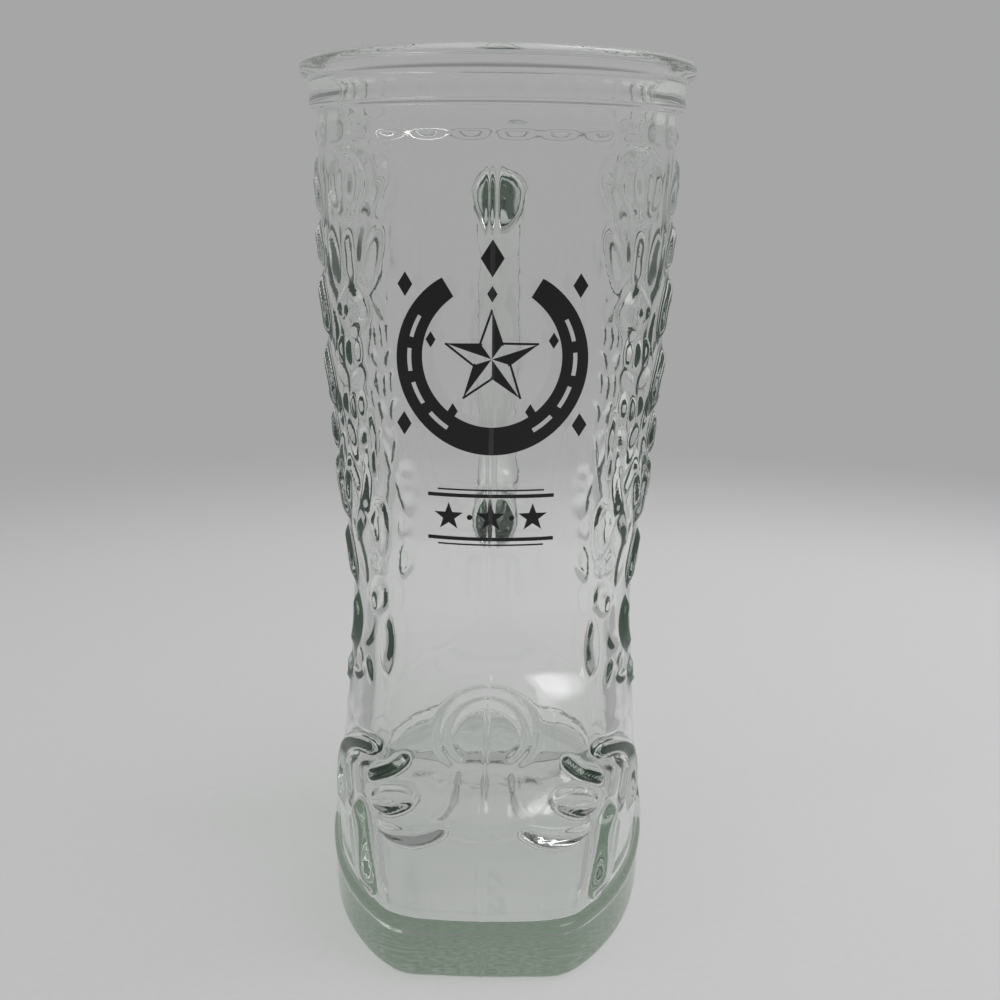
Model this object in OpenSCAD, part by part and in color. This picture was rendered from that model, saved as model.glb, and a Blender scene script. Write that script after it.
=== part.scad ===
// Clear glass mug in the shape of a cowboy boot, with a moulded handle behind the shaft.
// The toe points along -Y, the handle along +Y, and the glass stands on the plane z = 0.

/* [Overall] */
// Height from the table to the top of the rim
glass_h = 164; // [155:1:180]
// Reach of the toe ahead of the shaft's axis
toe_reach = 84; // [78:1:92]

/* [Rim and collar] */
// Height of the rounded lip
rim_h = 4.4; // [3.6:0.2:7]
// How far the lip stands out past the band under it
rim_out = 2.1; // [1:0.1:3]
// Height of the plain band
collar_h = 6.2; // [4:0.2:9]
// How far the band stands out past the neck
collar_out = 1.7; // [1:0.1:2.5]
// How far the mouth opens out inside the band
mouth_flare = 2.8; // [1:0.1:3.4]

/* [Shaft] */
// Outer radius at the neck, under the band
neck_r = 37.7; // [36:0.1:38.3]
// Outer radius at the ankle
ankle_r = 30.6; // [29:0.1:33]
// Height of the ankle above the table
ankle_h = 52; // [49:1:56]
// Thickness of the shaft's wall
wall = 4.2; // [3:0.1:5.5]

/* [Foot] */
// Half of the foot's width over the ball and the heel
foot_half_w = 31.6; // [31:0.1:35]
// Distance from the shaft's axis forward to the top of the toe box
toe_top_y = 62; // [56:1:66]
// Height of the top of the toe box
toe_top_h = 32; // [28:1:36]
// Thickness of the foot's wall
foot_wall = 5; // [3.5:0.1:6.5]
// Thickness of the glass floor above the welt
floor_t = 1; // [0.8:0.1:6]

/* [Sole] */
// Height of the sole and of the heel under the welt
sole_h = 8.6; // [7:0.1:11]
// Height of the open arch between sole and heel
arch_h = 5; // [4.6:0.1:5.6]
// Distance from the shaft's axis forward to the arch's front end
arch_front = 24; // [18:1:30]
// Distance from the shaft's axis back to the arch's rear end
arch_rear = 2; // [1:1:8]
// Thickness of the welt
welt_h = 1.8; // [1.2:0.1:2.6]
// How far the welt stands out past the foot
welt_out = 1.1; // [0.6:0.1:1.6]
// How far the welt stands out past the sole
welt_lip = 0.5; // [0.2:0.1:1]
// Rounding of the sole's bottom edge
sole_edge = 2; // [1:0.1:3]

/* [Handle] */
// Width of the grip from side to side
grip_w = 12; // [11:0.5:15]
// Thickness of the grip from front to back
grip_t = 10.5; // [9:0.5:11]
// Radius of the handle's bends, along the middle of the bar
bend_r = 15; // [11:0.5:18]
// Distance from the underside of the band down to the upper arm's middle
upper_arm_drop = 17.9; // [13:0.1:24]
// Height of the lower arm's middle above the ankle
lower_arm_rise = 8; // [7.6:0.1:12]
// Radius of the upper root where it meets the shaft
upper_root_r = 7.8; // [6.5:0.1:8.5]
// Radius of the lower root where it meets the shaft
lower_root_r = 6.6; // [6:0.1:7]
// Length of the flared roots
root_l = 9; // [6:0.5:11]
// Length of the upper arm's straight stretch between its root and its bend
arm_l = 7.4; // [4:0.1:14]

/* [Stitches] */
// Number of raised stitches round the neck
stitches = 28; // [16:2:32]
// Length of one stitch
stitch_l = 6.3; // [4:0.1:7]
// Height of one stitch
stitch_w = 2.1; // [1.6:0.1:3]
// How far a stitch stands out
stitch_lift = 0.7; // [0.5:0.1:1.4]
// Distance from the underside of the band down to the middle of the stitches
stitch_drop = 4.7; // [3.5:0.1:8]
// Number of stitches round the sole's edge
welt_stitch_count = 30; // [20:2:40]
// Length of a stitch on the sole's edge
welt_stitch_l = 3.6; // [3:0.1:4]

/* [Tooling] */
// How far the leaves stand out from the shaft
leaf_lift = 1.6; // [1:0.1:2.2]
// Half of the width of the widest leaf
leaf_half_w = 3; // [2:0.1:3.4]
// How far the seams and scrolls on the foot stand out
scroll_lift = 1; // [0.5:0.1:1.6]
// Half of the width of the seams and scrolls on the foot
scroll_half_w = 1.1; // [0.7:0.1:1.6]
// How far the mould line stands out
seam_lift = 0.3; // [0.2:0.05:0.5]
// Half of the width of the mould line
seam_half_w = 0.4; // [0.3:0.05:0.7]

/* [Print] */
// Thickness of the fired enamel
print_t = 0.2; // [0.15:0.05:0.3]
// Width of the horseshoe
shoe_w = 38; // [32:1:42]
// Width of the horseshoe's iron
shoe_iron = 5.4; // [4:0.1:6]
// Radius of the nail holes in the horseshoe
nail_r = 0.9; // [0.6:0.1:1.2]
// Radius of the large star
star_r = 9.5; // [7:0.1:10.5]
// Radius of the small stars in the band
small_star_r = 3; // [2:0.1:3.6]
// Distance between the small stars
small_star_pitch = 8.4; // [7.4:0.1:9.4]
// Distance from the horseshoe down to the middle of the band of small stars
band_drop = 13; // [9:0.1:14]

/* [Hidden] */

glass_tint = [0.86, 0.93, 0.9, 0.45];
thick_tint = [0.74, 0.86, 0.82, 0.6];
enamel = [0.05, 0.05, 0.06];

neck_h = glass_h - rim_h - collar_h;
base_h = sole_h + welt_h;
floor_h = base_h + floor_t;
inner_neck_r = neck_r - wall;
collar_r = neck_r + collar_out;
rim_r = collar_r + rim_out;
mouth_r = inner_neck_r + mouth_flare;
upper_reach = toe_reach - welt_out;
upper_arm_h = neck_h - upper_arm_drop;
lower_arm_h = ankle_h + lower_arm_rise;
// One overrun for all cuts
over = 2;

// Shares that shape the curves
bulge_share = 0.6;
narrow_share = 0.04;
// How far the toe's corners are pushed ahead, their distance from the middle and their width
toe_corner = 1.9;
toe_corner_x = 15;
toe_corner_w = 5;
// Height of the narrowest leaf as a share of the widest leaf's
low_leaf_share = 0.6;
toe_wall_share = 0.62;
toe_nose_share = 0.75;
vamp_share = 0.4;
ankle_share = 0.5;
toe_side_power = 3;
toe_front_power = 2.5;
round_power = 2;
shaft_steps = 12;
foot_steps = 14;
foot_sides = 48;
sole_sides = 72;
// Step over which slopes are measured
slope_step = 0.01;
// Angle of the sole's edge that carries stitches, and of the toe, where they lie closer
stitched_angle = 232;
toe_angle = 120;
// Height of the horseshoe's middle, as a share of the way up the shaft
shoe_share = 0.523;

// Places that follow from the shaft's curve
shoe_h = mix(ankle_h, neck_h, shoe_share);
band_h = shoe_h - shoe_w / 2 - band_drop;
// The middle of the grip, behind the shaft's axis
grip_y = shaft_r(upper_arm_h) + root_l + arm_l + bend_r;
handle_reach = grip_y + grip_t / 2;
// The handle and the toe reach equally far from the origin.
shaft_y = (toe_reach - handle_reach) / 2;

// Curves

function ease(t) = t * t * (3 - 2 * t);
function limit(t) = min(1, max(0, t));
function mix(a, b, t) = a + (b - a) * t;
function signed_power(x, n) = sign(x) * pow(abs(x), n);
function unit(v) = v / norm(v);

// Outer radius of the shaft at height z: narrow for a short way above the ankle, then opening
function shaft_r(z) = let (t = (z - ankle_h) / (neck_h - ankle_h))
    mix(ankle_r, neck_r, ease(pow(limit((t - narrow_share) / (1 - narrow_share)), bulge_share)));

// A point on the shaft, at angle a from the front and height z
function on_shaft(a, z) = [shaft_r(z) * sin(a), -shaft_r(z) * cos(a), z];

function bezier(p, t) = pow(1 - t, 3) * p[0] + 3 * pow(1 - t, 2) * t * p[1]
    + 3 * (1 - t) * t * t * p[2] + pow(t, 3) * p[3];

// Profile of the front from the toe over the toe box and up the instep to the ankle, as [y, z].
// inset is how far the profile lies inside the outer face, and low is the height that it starts at.
function toe_curve(inset, low) = let (
    tip = upper_reach - inset,
    top = toe_top_h - inset
) [
    [-tip, low],
    [-tip, mix(low, top, toe_wall_share)],
    [-mix(toe_top_y, tip, toe_nose_share), top - (toe_top_h - base_h) * (1 - toe_nose_share) / 2],
    [-toe_top_y, top]
];
function instep_curve(inset, thin) = let (
    top = toe_top_h - inset,
    r = ankle_r - thin,
    run = toe_top_y - r,
    rise = ankle_h - top
) [
    [-toe_top_y, top],
    [-toe_top_y + run * vamp_share, top + rise * vamp_share * vamp_share],
    [-r, ankle_h - rise * ankle_share],
    [-r, ankle_h]
];
function front_profile(inset, thin, low, v) = v < 0.5
    ? bezier(toe_curve(inset, low), 2 * v)
    : bezier(instep_curve(inset, thin), 2 * v - 1);

// One ring of the foot. It lies in a plane through the front and back points, and its outline is
// squarer at the toe and round at the ankle. Low down, the toe's two corners are pushed ahead.
function corner_push(x, v) = toe_corner * limit(1 - 2 * v)
    * exp(-pow((abs(x) - toe_corner_x) / toe_corner_w, 2));
function foot_half_width(thin_foot, thin, v) = mix(foot_half_w - thin_foot, ankle_r - thin, v);
function foot_point(inset, thin, low, a, v) = let (
    front = front_profile(inset, thin, low, v),
    half = foot_half_width(inset, thin, v),
    back = [half, mix(low, ankle_h, v)],
    along = -front[0] / (back[0] - front[0]),
    middle = front + (back - front) * along,
    side_power = mix(toe_side_power, round_power, v),
    front_power = mix(toe_front_power, round_power, v),
    ahead = cos(a) > 0,
    x = half * signed_power(sin(a), 2 / (ahead ? side_power : round_power)),
    share = pow(abs(cos(a)), 2 / (ahead ? front_power : round_power)),
    centre = middle + (ahead ? front - middle : back - middle) * share
) [x, centre[0] - (ahead ? corner_push(x, v) : 0), centre[1]];
function on_foot(a, v) = foot_point(0, 0, base_h, a, v);

// A point on the vamp, s being the share of the way from the middle to the side
function on_vamp(s, v) = let (power = mix(toe_side_power, round_power, v) / 2)
    on_foot(sign(s) * asin(pow(min(1, abs(s)), power)), v);

// The outline of the foot where it meets the welt, let out by a distance
function sole_point(a, out) = let (
    p = on_foot(a, 0),
    ahead = cos(a) > 0,
    reach = ahead ? upper_reach : foot_half_w
) [p[0] * (foot_half_w + out) / foot_half_w, p[1] * (reach + out) / reach];
function on_sole(a, z) = let (p = sole_point(a, welt_out - welt_lip)) [p[0], p[1], z];

// Solids

// A closed solid from rings of points, each with as many points. Seen from ahead, looking back
// along the rings' order, their points run anticlockwise.
module loft(rings) {
    n = len(rings[0]);
    last = len(rings) - 1;
    points = [for (ring = rings) for (p = ring) p];
    sides = [for (i = [0 : last - 1]) for (k = [0 : n - 1]) let (m = (k + 1) % n)
        each [[i * n + k, (i + 1) * n + m, i * n + m], [i * n + k, (i + 1) * n + k, (i + 1) * n + m]]];
    low_end = [for (k = [0 : n - 1]) k];
    high_end = [for (k = [n - 1 : -1 : 0]) last * n + k];
    polyhedron(points, concat(sides, [low_end, high_end]));
}

// A raised ridge on a surface. path holds [a, b] places on the surface and widths the half widths
// there. Its foot is sunk by the height that the surface falls away over the half width.
module ridge(path, widths, lift, skin) {
    last = len(path) - 1;
    function at(i) = skin(path[i][0], path[i][1]);
    function along(i) = unit(at(min(i + 1, last)) - at(max(i - 1, 0)));
    function outward(i) = let (
        p = path[i],
        across = skin(p[0] + slope_step, p[1]) - skin(p[0] - slope_step, p[1]),
        up = skin(p[0], p[1] + slope_step) - skin(p[0], p[1] - slope_step)
    ) unit(cross(across, up));
    rings = [for (i = [0 : last]) let (
        out = outward(i),
        side = unit(cross(along(i), out)),
        w = widths[i],
        sink = w * w / (2 * ankle_r),
        h = lift * min(1, 2 * w / max(widths))
    ) [
        at(i) + side * w - out * sink,
        at(i),
        at(i) - side * w - out * sink,
        at(i) - side * w * 0.6 + out * h * 0.7,
        at(i) + out * h,
        at(i) + side * w * 0.6 + out * h * 0.7
    ]];
    loft(rings);
}

// A pointed leaf between two places, bowed sideways, and widest near its middle
module leaf(from, to, bow, half_w, lift, skin) {
    steps = 4;
    path = [for (i = [0 : steps]) let (t = i / steps)
        mix(from, to, t) + [bow * sin(180 * t), 0]];
    widths = [for (i = [0 : steps]) half_w * max(0.15, pow(sin(180 * i / steps), 0.7))];
    ridge(path, widths, lift, skin);
}

// A cord of even width along places on a surface, with thin ends
module cord_line(path, half_w, lift, skin) {
    last = len(path) - 1;
    widths = [for (i = [0 : last]) i == 0 || i == last ? half_w / 3 : half_w];
    ridge(path, widths, lift, skin);
}

// A line that swells from thin ends to its full width in the middle
module swelling_line(path, half_w, lift, skin) {
    last = len(path) - 1;
    widths = [for (i = [0 : last]) half_w * max(0.2, pow(sin(180 * i / last), 0.6))];
    ridge(path, widths, lift, skin);
}

// A short stitch of full height with blunt ends
module stitch(a, b, turn, half_w, lift, skin) {
    steps = 6;
    path = [for (i = [0 : steps]) [a - turn / 2 + turn * i / steps, b]];
    widths = [for (i = [0 : steps]) half_w * max(0.35, pow(sin(180 * i / steps), 0.4))];
    ridge(path, widths, lift, skin);
}

// Everything is laid out round the shaft's axis and then moved to its place.
module placed() {
    translate([0, shaft_y, 0]) children();
}

// The shaft's outer face, let out by a distance, as the edge of a turned shape
function shaft_edge(out) = [for (i = [0 : shaft_steps])
    let (z = mix(ankle_h, neck_h, i / shaft_steps)) [shaft_r(z) + out, z]];
function reversed(list) = [for (i = [len(list) - 1 : -1 : 0]) list[i]];

// Rim, collar and shaft

module rim_bead() {
    round_r = rim_h / 2;
    color(glass_tint) placed() rotate_extrude($fn = 96) {
        translate([mouth_r, glass_h - rim_h])
            square([rim_r - round_r - mouth_r, rim_h]);
        translate([rim_r - round_r, glass_h - round_r])
            circle(r = round_r, $fn = 32);
    }
}

module collar_band() {
    top = neck_h + collar_h;
    color(glass_tint) placed() rotate_extrude($fn = 96)
        polygon([[inner_neck_r, neck_h], [collar_r, neck_h], [collar_r, top], [mouth_r, top]]);
}

module shaft_wall() {
    color(glass_tint) placed() rotate_extrude($fn = 96)
        polygon(concat(shaft_edge(0), reversed(shaft_edge(-wall))));
}

module stitch_row() {
    z = neck_h - stitch_drop;
    turn = stitch_l / shaft_r(z) * 180 / PI;
    color(glass_tint) placed() for (i = [0 : stitches - 1])
        stitch((i + 0.5) * 360 / stitches, z, turn, stitch_w / 2, stitch_lift,
            function(a, b) on_shaft(a, b));
}

// Tooled leaves. Places are [angle from the front, share of the way up to the stitches], and the
// last numbers are the bow in degrees and the width as a share of the widest leaf.
leaf_shares = [
    // A tulip: its two halves, its bud and the petals beside and under it
    [[50, 0.83], [47, 0.95], -8.5, 0.4],
    [[52, 0.83], [49, 0.95], 9, 0.4],
    [[50.5, 0.86], [49, 0.93], 0, 0.75],
    [[34, 0.92], [45, 0.69], 5, 0.4],
    [[37, 0.80], [43, 0.69], 1, 0.55],
    [[52, 0.80], [51, 0.69], 0, 0.6],
    [[64, 0.80], [60, 0.69], -1, 0.65],
    // A lozenge
    [[45.5, 0.645], [51, 0.68], 0, 0.35],
    [[53, 0.68], [58.5, 0.645], 0, 0.35],
    [[45.5, 0.625], [51, 0.59], 0, 0.35],
    [[53, 0.59], [58.5, 0.625], 0, 0.35],
    // Two blocks of three ribs, with a chevron under each
    [[50, 0.575], [50, 0.525], 0, 0.4],
    [[55, 0.575], [55, 0.515], 0, 0.4],
    [[60, 0.575], [60, 0.525], 0, 0.4],
    [[47, 0.51], [54.5, 0.475], 0, 0.4],
    [[65, 0.51], [57.5, 0.475], 0, 0.4],
    [[50, 0.46], [50, 0.41], 0, 0.4],
    [[55, 0.455], [55, 0.40], 0, 0.4],
    [[60, 0.46], [60, 0.41], 0, 0.4],
    [[47, 0.39], [53, 0.345], 0, 0.4],
    [[61.5, 0.39], [55.5, 0.345], 0, 0.4],
    // Long leaves that slant down, and a drop
    [[49, 0.32], [65, 0.13], -3, 0.55],
    [[60, 0.33], [70, 0.20], 1, 0.5],
    [[44, 0.22], [45, 0.12], -3, 0.25],
    [[46, 0.22], [47, 0.12], 3, 0.25],
    // Leaves one above another beside the middle of the side
    [[84, 0.92], [73, 0.83], -2, 0.85],
    [[85, 0.81], [74, 0.72], -2, 0.85],
    [[85, 0.70], [72, 0.57], -2, 1],
    [[85, 0.55], [71, 0.41], -2, 1],
    [[85, 0.40], [74, 0.33], 0, 0.75],
    [[85, 0.31], [73, 0.165], -2, 1],
    [[83, 0.145], [74, 0.02], 0, 0.85],
    // Upright leaves up the middle of the side
    for (low = [0.02 : 0.14 : 0.9]) [[90, low], [90, low + 0.1], 0, 0.75]
];

module relief_half() {
    for (l = leaf_shares) {
        from = [l[0][0], mix(ankle_h, neck_h - stitch_drop, l[0][1])];
        to = [l[1][0], mix(ankle_h, neck_h - stitch_drop, l[1][1])];
        // Narrow leaves are also lower
        lift = leaf_lift * mix(low_leaf_share, 1, l[3]);
        leaf(from, to, l[2], leaf_half_w * l[3], lift, function(a, b) on_shaft(a, b));
        // The same leaf behind the middle of the side
        if (l[0][0] < 90 || l[1][0] < 90)
            leaf([180 - from[0], from[1]], [180 - to[0], to[1]], -l[2],
                leaf_half_w * l[3], lift, function(a, b) on_shaft(a, b));
    }
}

module shaft_relief_left() {
    color(thick_tint) placed() mirror([1, 0, 0]) relief_half();
}

module shaft_relief_right() {
    color(thick_tint) placed() relief_half();
}

// Foot

module foot_shell() {
    angles = [for (k = [0 : foot_sides - 1]) k * 360 / foot_sides];
    outer = [for (i = [0 : foot_steps])
        [for (a = angles) foot_point(0, 0, base_h, a, i / foot_steps)]];
    inner = [for (i = [foot_steps : -1 : 0])
        [for (a = angles) foot_point(foot_wall, wall, floor_h, a, i / foot_steps)]];
    color(glass_tint) placed() loft(concat(outer, inner));
}

// A curve on the vamp through [share of the way to the side, share of the way up the profile]
function curve_on_vamp(shares) = [for (t = [0 : 0.125 : 1]) bezier(shares, t)];

// A shape and its mirror image on the other side
module both_sides() {
    children();
    mirror([1, 0, 0]) children();
}

// The line of the medallion's arch, drawn twice, and the waist under it that flares to the toe seam
arch_shares = [0.30, 0.15];
arch_middle_share = 0.61;
inner_arch_share = 0.76;
arch_angle = 145;
waist_shares = [[0.165, 0.47], [0.21, 0.42], [0.14, 0.37], [0.27, 0.285]];

module toe_medallion() {
    function arch(share) = [for (t = [-arch_angle : arch_angle / 10 : arch_angle])
        [arch_shares[0] * share * sin(t), arch_middle_share + arch_shares[1] * share * cos(t)]];
    color(glass_tint) placed() {
        cord_line(arch(1), scroll_half_w / 2, scroll_lift / 2, function(a, b) on_vamp(a, b));
        cord_line(arch(inner_arch_share), scroll_half_w / 2, scroll_lift / 2,
            function(a, b) on_vamp(a, b));
        both_sides() cord_line(curve_on_vamp(waist_shares), scroll_half_w / 2, scroll_lift / 2,
            function(a, b) on_vamp(a, b));
    }
}

// Crescent seams across the toe
crescent_shares = [[0.20, 0.255], [0.30, 0.21], [0.40, 0.195], [0.57, 0.195]];

module wing_tip() {
    color(glass_tint) placed() both_sides()
        swelling_line(curve_on_vamp(crescent_shares), scroll_half_w * 1.5, scroll_lift,
            function(a, b) on_vamp(a, b));
}

// A scroll that hooks over the side of the ball, a lobe inside it, an oval boss under that, a long
// wedge down to the welt at the toe box's corner, and a leaf that runs up to the ankle
hook_shares = [[0.66, 0.48], [0.88, 0.50], [0.99, 0.30], [0.88, 0.15]];
lobe_shares = [[0.66, 0.40], [0.62, 0.41], [0.55, 0.43], [0.50, 0.49]];
boss_shares = [[0.40, 0.365], [0.48, 0.352], [0.58, 0.325], [0.67, 0.295]];
wedge_shares = [[0.76, 0.25], [0.71, 0.17], [0.67, 0.09], [0.62, 0.03]];
tip_shares = [[0.68, 0.76], [0.69, 0.84], [0.70, 0.90], [0.70, 0.97]];

module foot_scroll() {
    for (line = [[hook_shares, 1.6], [lobe_shares, 1.7], [boss_shares, 2.6], [wedge_shares, 2.2],
            [tip_shares, 1.7]])
        swelling_line(curve_on_vamp(line[0]), scroll_half_w * line[1], scroll_lift * 1.3,
            function(a, b) on_vamp(a, b));
}

module foot_scroll_left() {
    color(thick_tint) placed() mirror([1, 0, 0]) foot_scroll();
}

module foot_scroll_right() {
    color(thick_tint) placed() foot_scroll();
}

module mould_seam() {
    up_shaft = [for (i = [0 : shaft_steps]) [0, mix(ankle_h, neck_h, i / (shaft_steps + 1))]];
    up_foot = [for (i = [0 : foot_steps]) [0, i / foot_steps]];
    up_sole = [for (i = [0 : 4]) [0, mix(sole_edge, sole_h, i / 4)]];
    color(glass_tint) placed() {
        cord_line(up_shaft, seam_half_w, seam_lift, function(a, b) on_shaft(a, b));
        cord_line(up_foot, seam_half_w, seam_lift, function(a, b) on_vamp(a, b));
        cord_line(up_sole, seam_half_w, seam_lift, function(a, b) on_sole(a, b));
    }
}

// Sole

// A slab with the foot's outline. levels holds [height, distance that the outline is let out].
module slab(levels) {
    loft([for (l = levels) [for (k = [0 : sole_sides - 1])
        let (p = sole_point(k * 360 / sole_sides, l[1])) [p[0], p[1], l[0]]]]);
}

// The part of a shape between two distances ahead of the shaft's axis, and above a height
module sliced(from, to, low) {
    intersection() {
        children();
        translate([-rim_r - over, -to, low])
            cube([2 * (rim_r + over), to - from, glass_h]);
    }
}

module welt() {
    color(glass_tint) placed() slab([[sole_h, welt_out], [base_h, welt_out]]);
}

module sole_slab() {
    out = welt_out - welt_lip;
    slab([[0, out - sole_edge], [sole_edge / 2, out - sole_edge / 4], [sole_edge, out], [sole_h, out]]);
}

module outsole() {
    color(thick_tint) placed() sliced(arch_front, toe_reach + over, -over) sole_slab();
}

module shank() {
    color(thick_tint) placed() sliced(-arch_rear, arch_front, arch_h) sole_slab();
}

module heel_block() {
    color(thick_tint) placed() sliced(-foot_half_w - welt_out - over, -arch_rear, -over) sole_slab();
}

module welt_stitches() {
    turn = welt_stitch_l / foot_half_w * 180 / PI;
    color(glass_tint) placed() for (i = [0 : welt_stitch_count - 1])
        let (a = stitched_angle * ((i + 0.5) / welt_stitch_count - 0.5))
            stitch(a, sole_h * 0.8, turn * (abs(a) < toe_angle / 2 ? 0.6 : 1), stitch_w / 4,
                stitch_lift / 4, function(a, b) on_sole(a, b));
}

// Handle

// The bar's cross-section, with round sides
module bar_section() {
    square([grip_w - grip_t, grip_t], center = true);
    for (side = [-1, 1])
        translate([side * (grip_w - grip_t) / 2, 0]) circle(d = grip_t, $fn = 48);
}

module shaft_core() {
    rotate_extrude($fn = 96) polygon(concat(shaft_edge(0), [[0, neck_h], [0, ankle_h]]));
}

// A root that flares towards the shaft and ends on its face
module root(z, r) {
    start = shaft_r(z) - wall;
    difference() {
        translate([0, start, z]) rotate([-90, 0, 0])
            cylinder(r1 = r, r2 = grip_t / 2, h = wall + root_l, $fn = 48);
        shaft_core();
    }
}

// A straight arm from its root back to the bend, then a quarter turn towards the grip
module arm(z, down) {
    start = shaft_r(z) + root_l;
    stop = grip_y - bend_r;
    translate([0, stop, z]) rotate([90, 0, 0]) linear_extrude(stop - start) bar_section();
    translate([0, stop, z - down * bend_r]) rotate([0, -90, 0]) rotate([0, 0, down > 0 ? 0 : 90])
        rotate_extrude(angle = 90, $fn = 96) translate([bend_r, 0]) rotate(90) bar_section();
}

module handle_upper_root() {
    color(thick_tint) placed() root(upper_arm_h, upper_root_r);
}

module handle_lower_root() {
    color(thick_tint) placed() root(lower_arm_h, lower_root_r);
}

module handle_upper_bend() {
    color(thick_tint) placed() arm(upper_arm_h, 1);
}

module handle_lower_bend() {
    color(thick_tint) placed() arm(lower_arm_h, -1);
}

module handle_grip() {
    low = lower_arm_h + bend_r;
    color(thick_tint) placed() translate([0, grip_y, low])
        linear_extrude(upper_arm_h - bend_r - low) bar_section();
}

// Print

module star(r) {
    polygon([for (i = [0 : 9]) let (s = i % 2 == 0 ? r : r * 0.4) [s * sin(36 * i), s * cos(36 * i)]]);
}

module diamond(w, h) {
    polygon([[-w / 2, 0], [0, -h / 2], [w / 2, 0], [0, h / 2]]);
}

// Lays a flat drawing on the front of the shaft, centred at height z
module printed(z) {
    intersection() {
        rotate_extrude($fn = 96) polygon(concat(shaft_edge(0), reversed(shaft_edge(print_t))));
        translate([0, 0, z]) rotate([90, 0, 0]) linear_extrude(rim_r + over) children();
    }
}

// A horseshoe, open at the top, with nail holes
module horseshoe() {
    outer = shoe_w / 2;
    middle = outer - shoe_iron / 2;
    opening = outer * 0.7;
    difference() {
        circle(r = outer, $fn = 96);
        circle(r = outer - shoe_iron, $fn = 96);
        polygon([[0, 0], [opening, outer + over], [-opening, outer + over]]);
        for (side = [-1, 1]) for (turn = [-20, 5, 30])
            rotate(side * turn) translate([side * middle, 0]) circle(r = nail_r, $fn = 24);
    }
}

module printed_emblem() {
    color(enamel) placed() printed(shoe_h) {
        horseshoe();
        star(star_r);
        translate([0, shoe_w * 0.5]) diamond(small_star_r * 1.5, small_star_r * 2.4);
        for (side = [-1, 1]) for (row = [0.36, -0.64])
            translate([side * shoe_w * 0.45, shoe_w * row]) diamond(small_star_r, small_star_r * 1.6);
    }
}

module printed_band() {
    color(enamel) placed() printed(band_h) {
        for (i = [-1 : 1]) translate([i * small_star_pitch, 0]) star(small_star_r);
        for (side = [-1, 1]) translate([0, side * small_star_r * 1.5])
            square([3 * small_star_pitch, small_star_r / 4], center = true);
    }
}

rim_bead();
collar_band();
shaft_wall();
stitch_row();
shaft_relief_left();
shaft_relief_right();
foot_shell();
toe_medallion();
wing_tip();
foot_scroll_left();
foot_scroll_right();
mould_seam();
welt();
welt_stitches();
outsole();
shank();
heel_block();
handle_upper_root();
handle_upper_bend();
handle_grip();
handle_lower_bend();
handle_lower_root();
printed_emblem();
printed_band();
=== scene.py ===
"""A clear pressed-glass mug in the shape of a cowboy boot, with a black fired print on its front.

The glass is one closed surface, because the real mug is pressed and joined as one piece of glass:
a second surface inside the glass would show as a line that the real mug doesn't have.
Shapes are worked out in millimetres round the shaft's axis, and become metres as a mesh is made.
"""

import bmesh
import bpy
import numpy as np
from bpy.props import FloatProperty, FloatVectorProperty, PointerProperty
from mathutils import Matrix, Vector


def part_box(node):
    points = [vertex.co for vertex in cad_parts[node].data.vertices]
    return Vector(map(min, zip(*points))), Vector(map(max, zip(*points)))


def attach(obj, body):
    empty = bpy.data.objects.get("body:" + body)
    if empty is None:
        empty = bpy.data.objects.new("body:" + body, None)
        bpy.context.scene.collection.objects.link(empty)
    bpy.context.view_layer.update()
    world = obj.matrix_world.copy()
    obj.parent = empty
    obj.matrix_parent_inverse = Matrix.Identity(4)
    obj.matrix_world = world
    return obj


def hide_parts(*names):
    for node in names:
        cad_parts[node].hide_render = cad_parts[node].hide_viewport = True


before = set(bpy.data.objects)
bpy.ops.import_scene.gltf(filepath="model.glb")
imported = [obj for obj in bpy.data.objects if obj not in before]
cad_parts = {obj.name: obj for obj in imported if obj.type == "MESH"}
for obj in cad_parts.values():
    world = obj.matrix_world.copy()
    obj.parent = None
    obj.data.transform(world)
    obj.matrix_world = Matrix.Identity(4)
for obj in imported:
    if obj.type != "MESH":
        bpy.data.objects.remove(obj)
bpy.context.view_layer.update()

bl_info = {
    "name": "Glass boot mug",
    "version": (1, 0, 0),
    "blender": (4, 5, 0),
    "location": "3D View > Sidebar > Boot mug",
    "description": "Builds a clear pressed-glass mug in the shape of a cowboy boot",
    "category": "Add Mesh",
}

MM = 0.001


# Colours

def linear(hex_colour):
    """The linear RGBA of an sRGB colour written as six hex digits."""
    srgb = np.array([int(hex_colour[i:i + 2], 16) for i in (0, 2, 4)]) / 255
    rgb = np.where(srgb <= 0.04045, srgb / 12.92, ((srgb + 0.055) / 1.055) ** 2.4)
    return (*[float(c) for c in rgb], 1.0)


def grey(level):
    """The linear RGBA of a neutral sRGB level from 0 to 255."""
    return linear(f"{level:02x}" * 3)


# Sizes and colours that a user would change

def length(name, description, default):
    """A length in metres for the sidebar."""
    return FloatProperty(name=name, description=description, default=default, unit="LENGTH",
                         precision=4)


class BootSizes(bpy.types.PropertyGroup):
    """Main sizes of the boot."""
    glass_height: length("Glass height", "From the table to the top of the rim", 0.164)
    toe_reach: length("Toe reach", "From the shaft's axis to the welt's front", 0.084)
    neck_radius: length("Neck radius", "Outer radius of the shaft under its band", 0.0377)
    ankle_radius: length("Ankle radius", "Outer radius of the shaft at the ankle", 0.0306)
    ankle_height: length("Ankle height", "From the table to the ankle", 0.052)
    wall: length("Shaft wall", "Thickness of the shaft's wall", 0.0042)
    foot_wall: length("Foot wall", "Thickness of the foot's wall", 0.0039)
    floor_height: length("Floor height", "From the table to the floor inside the foot", 0.0088)
    relief: length("Tooling height", "How far the tallest leaves stand out", 0.0016)


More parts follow.
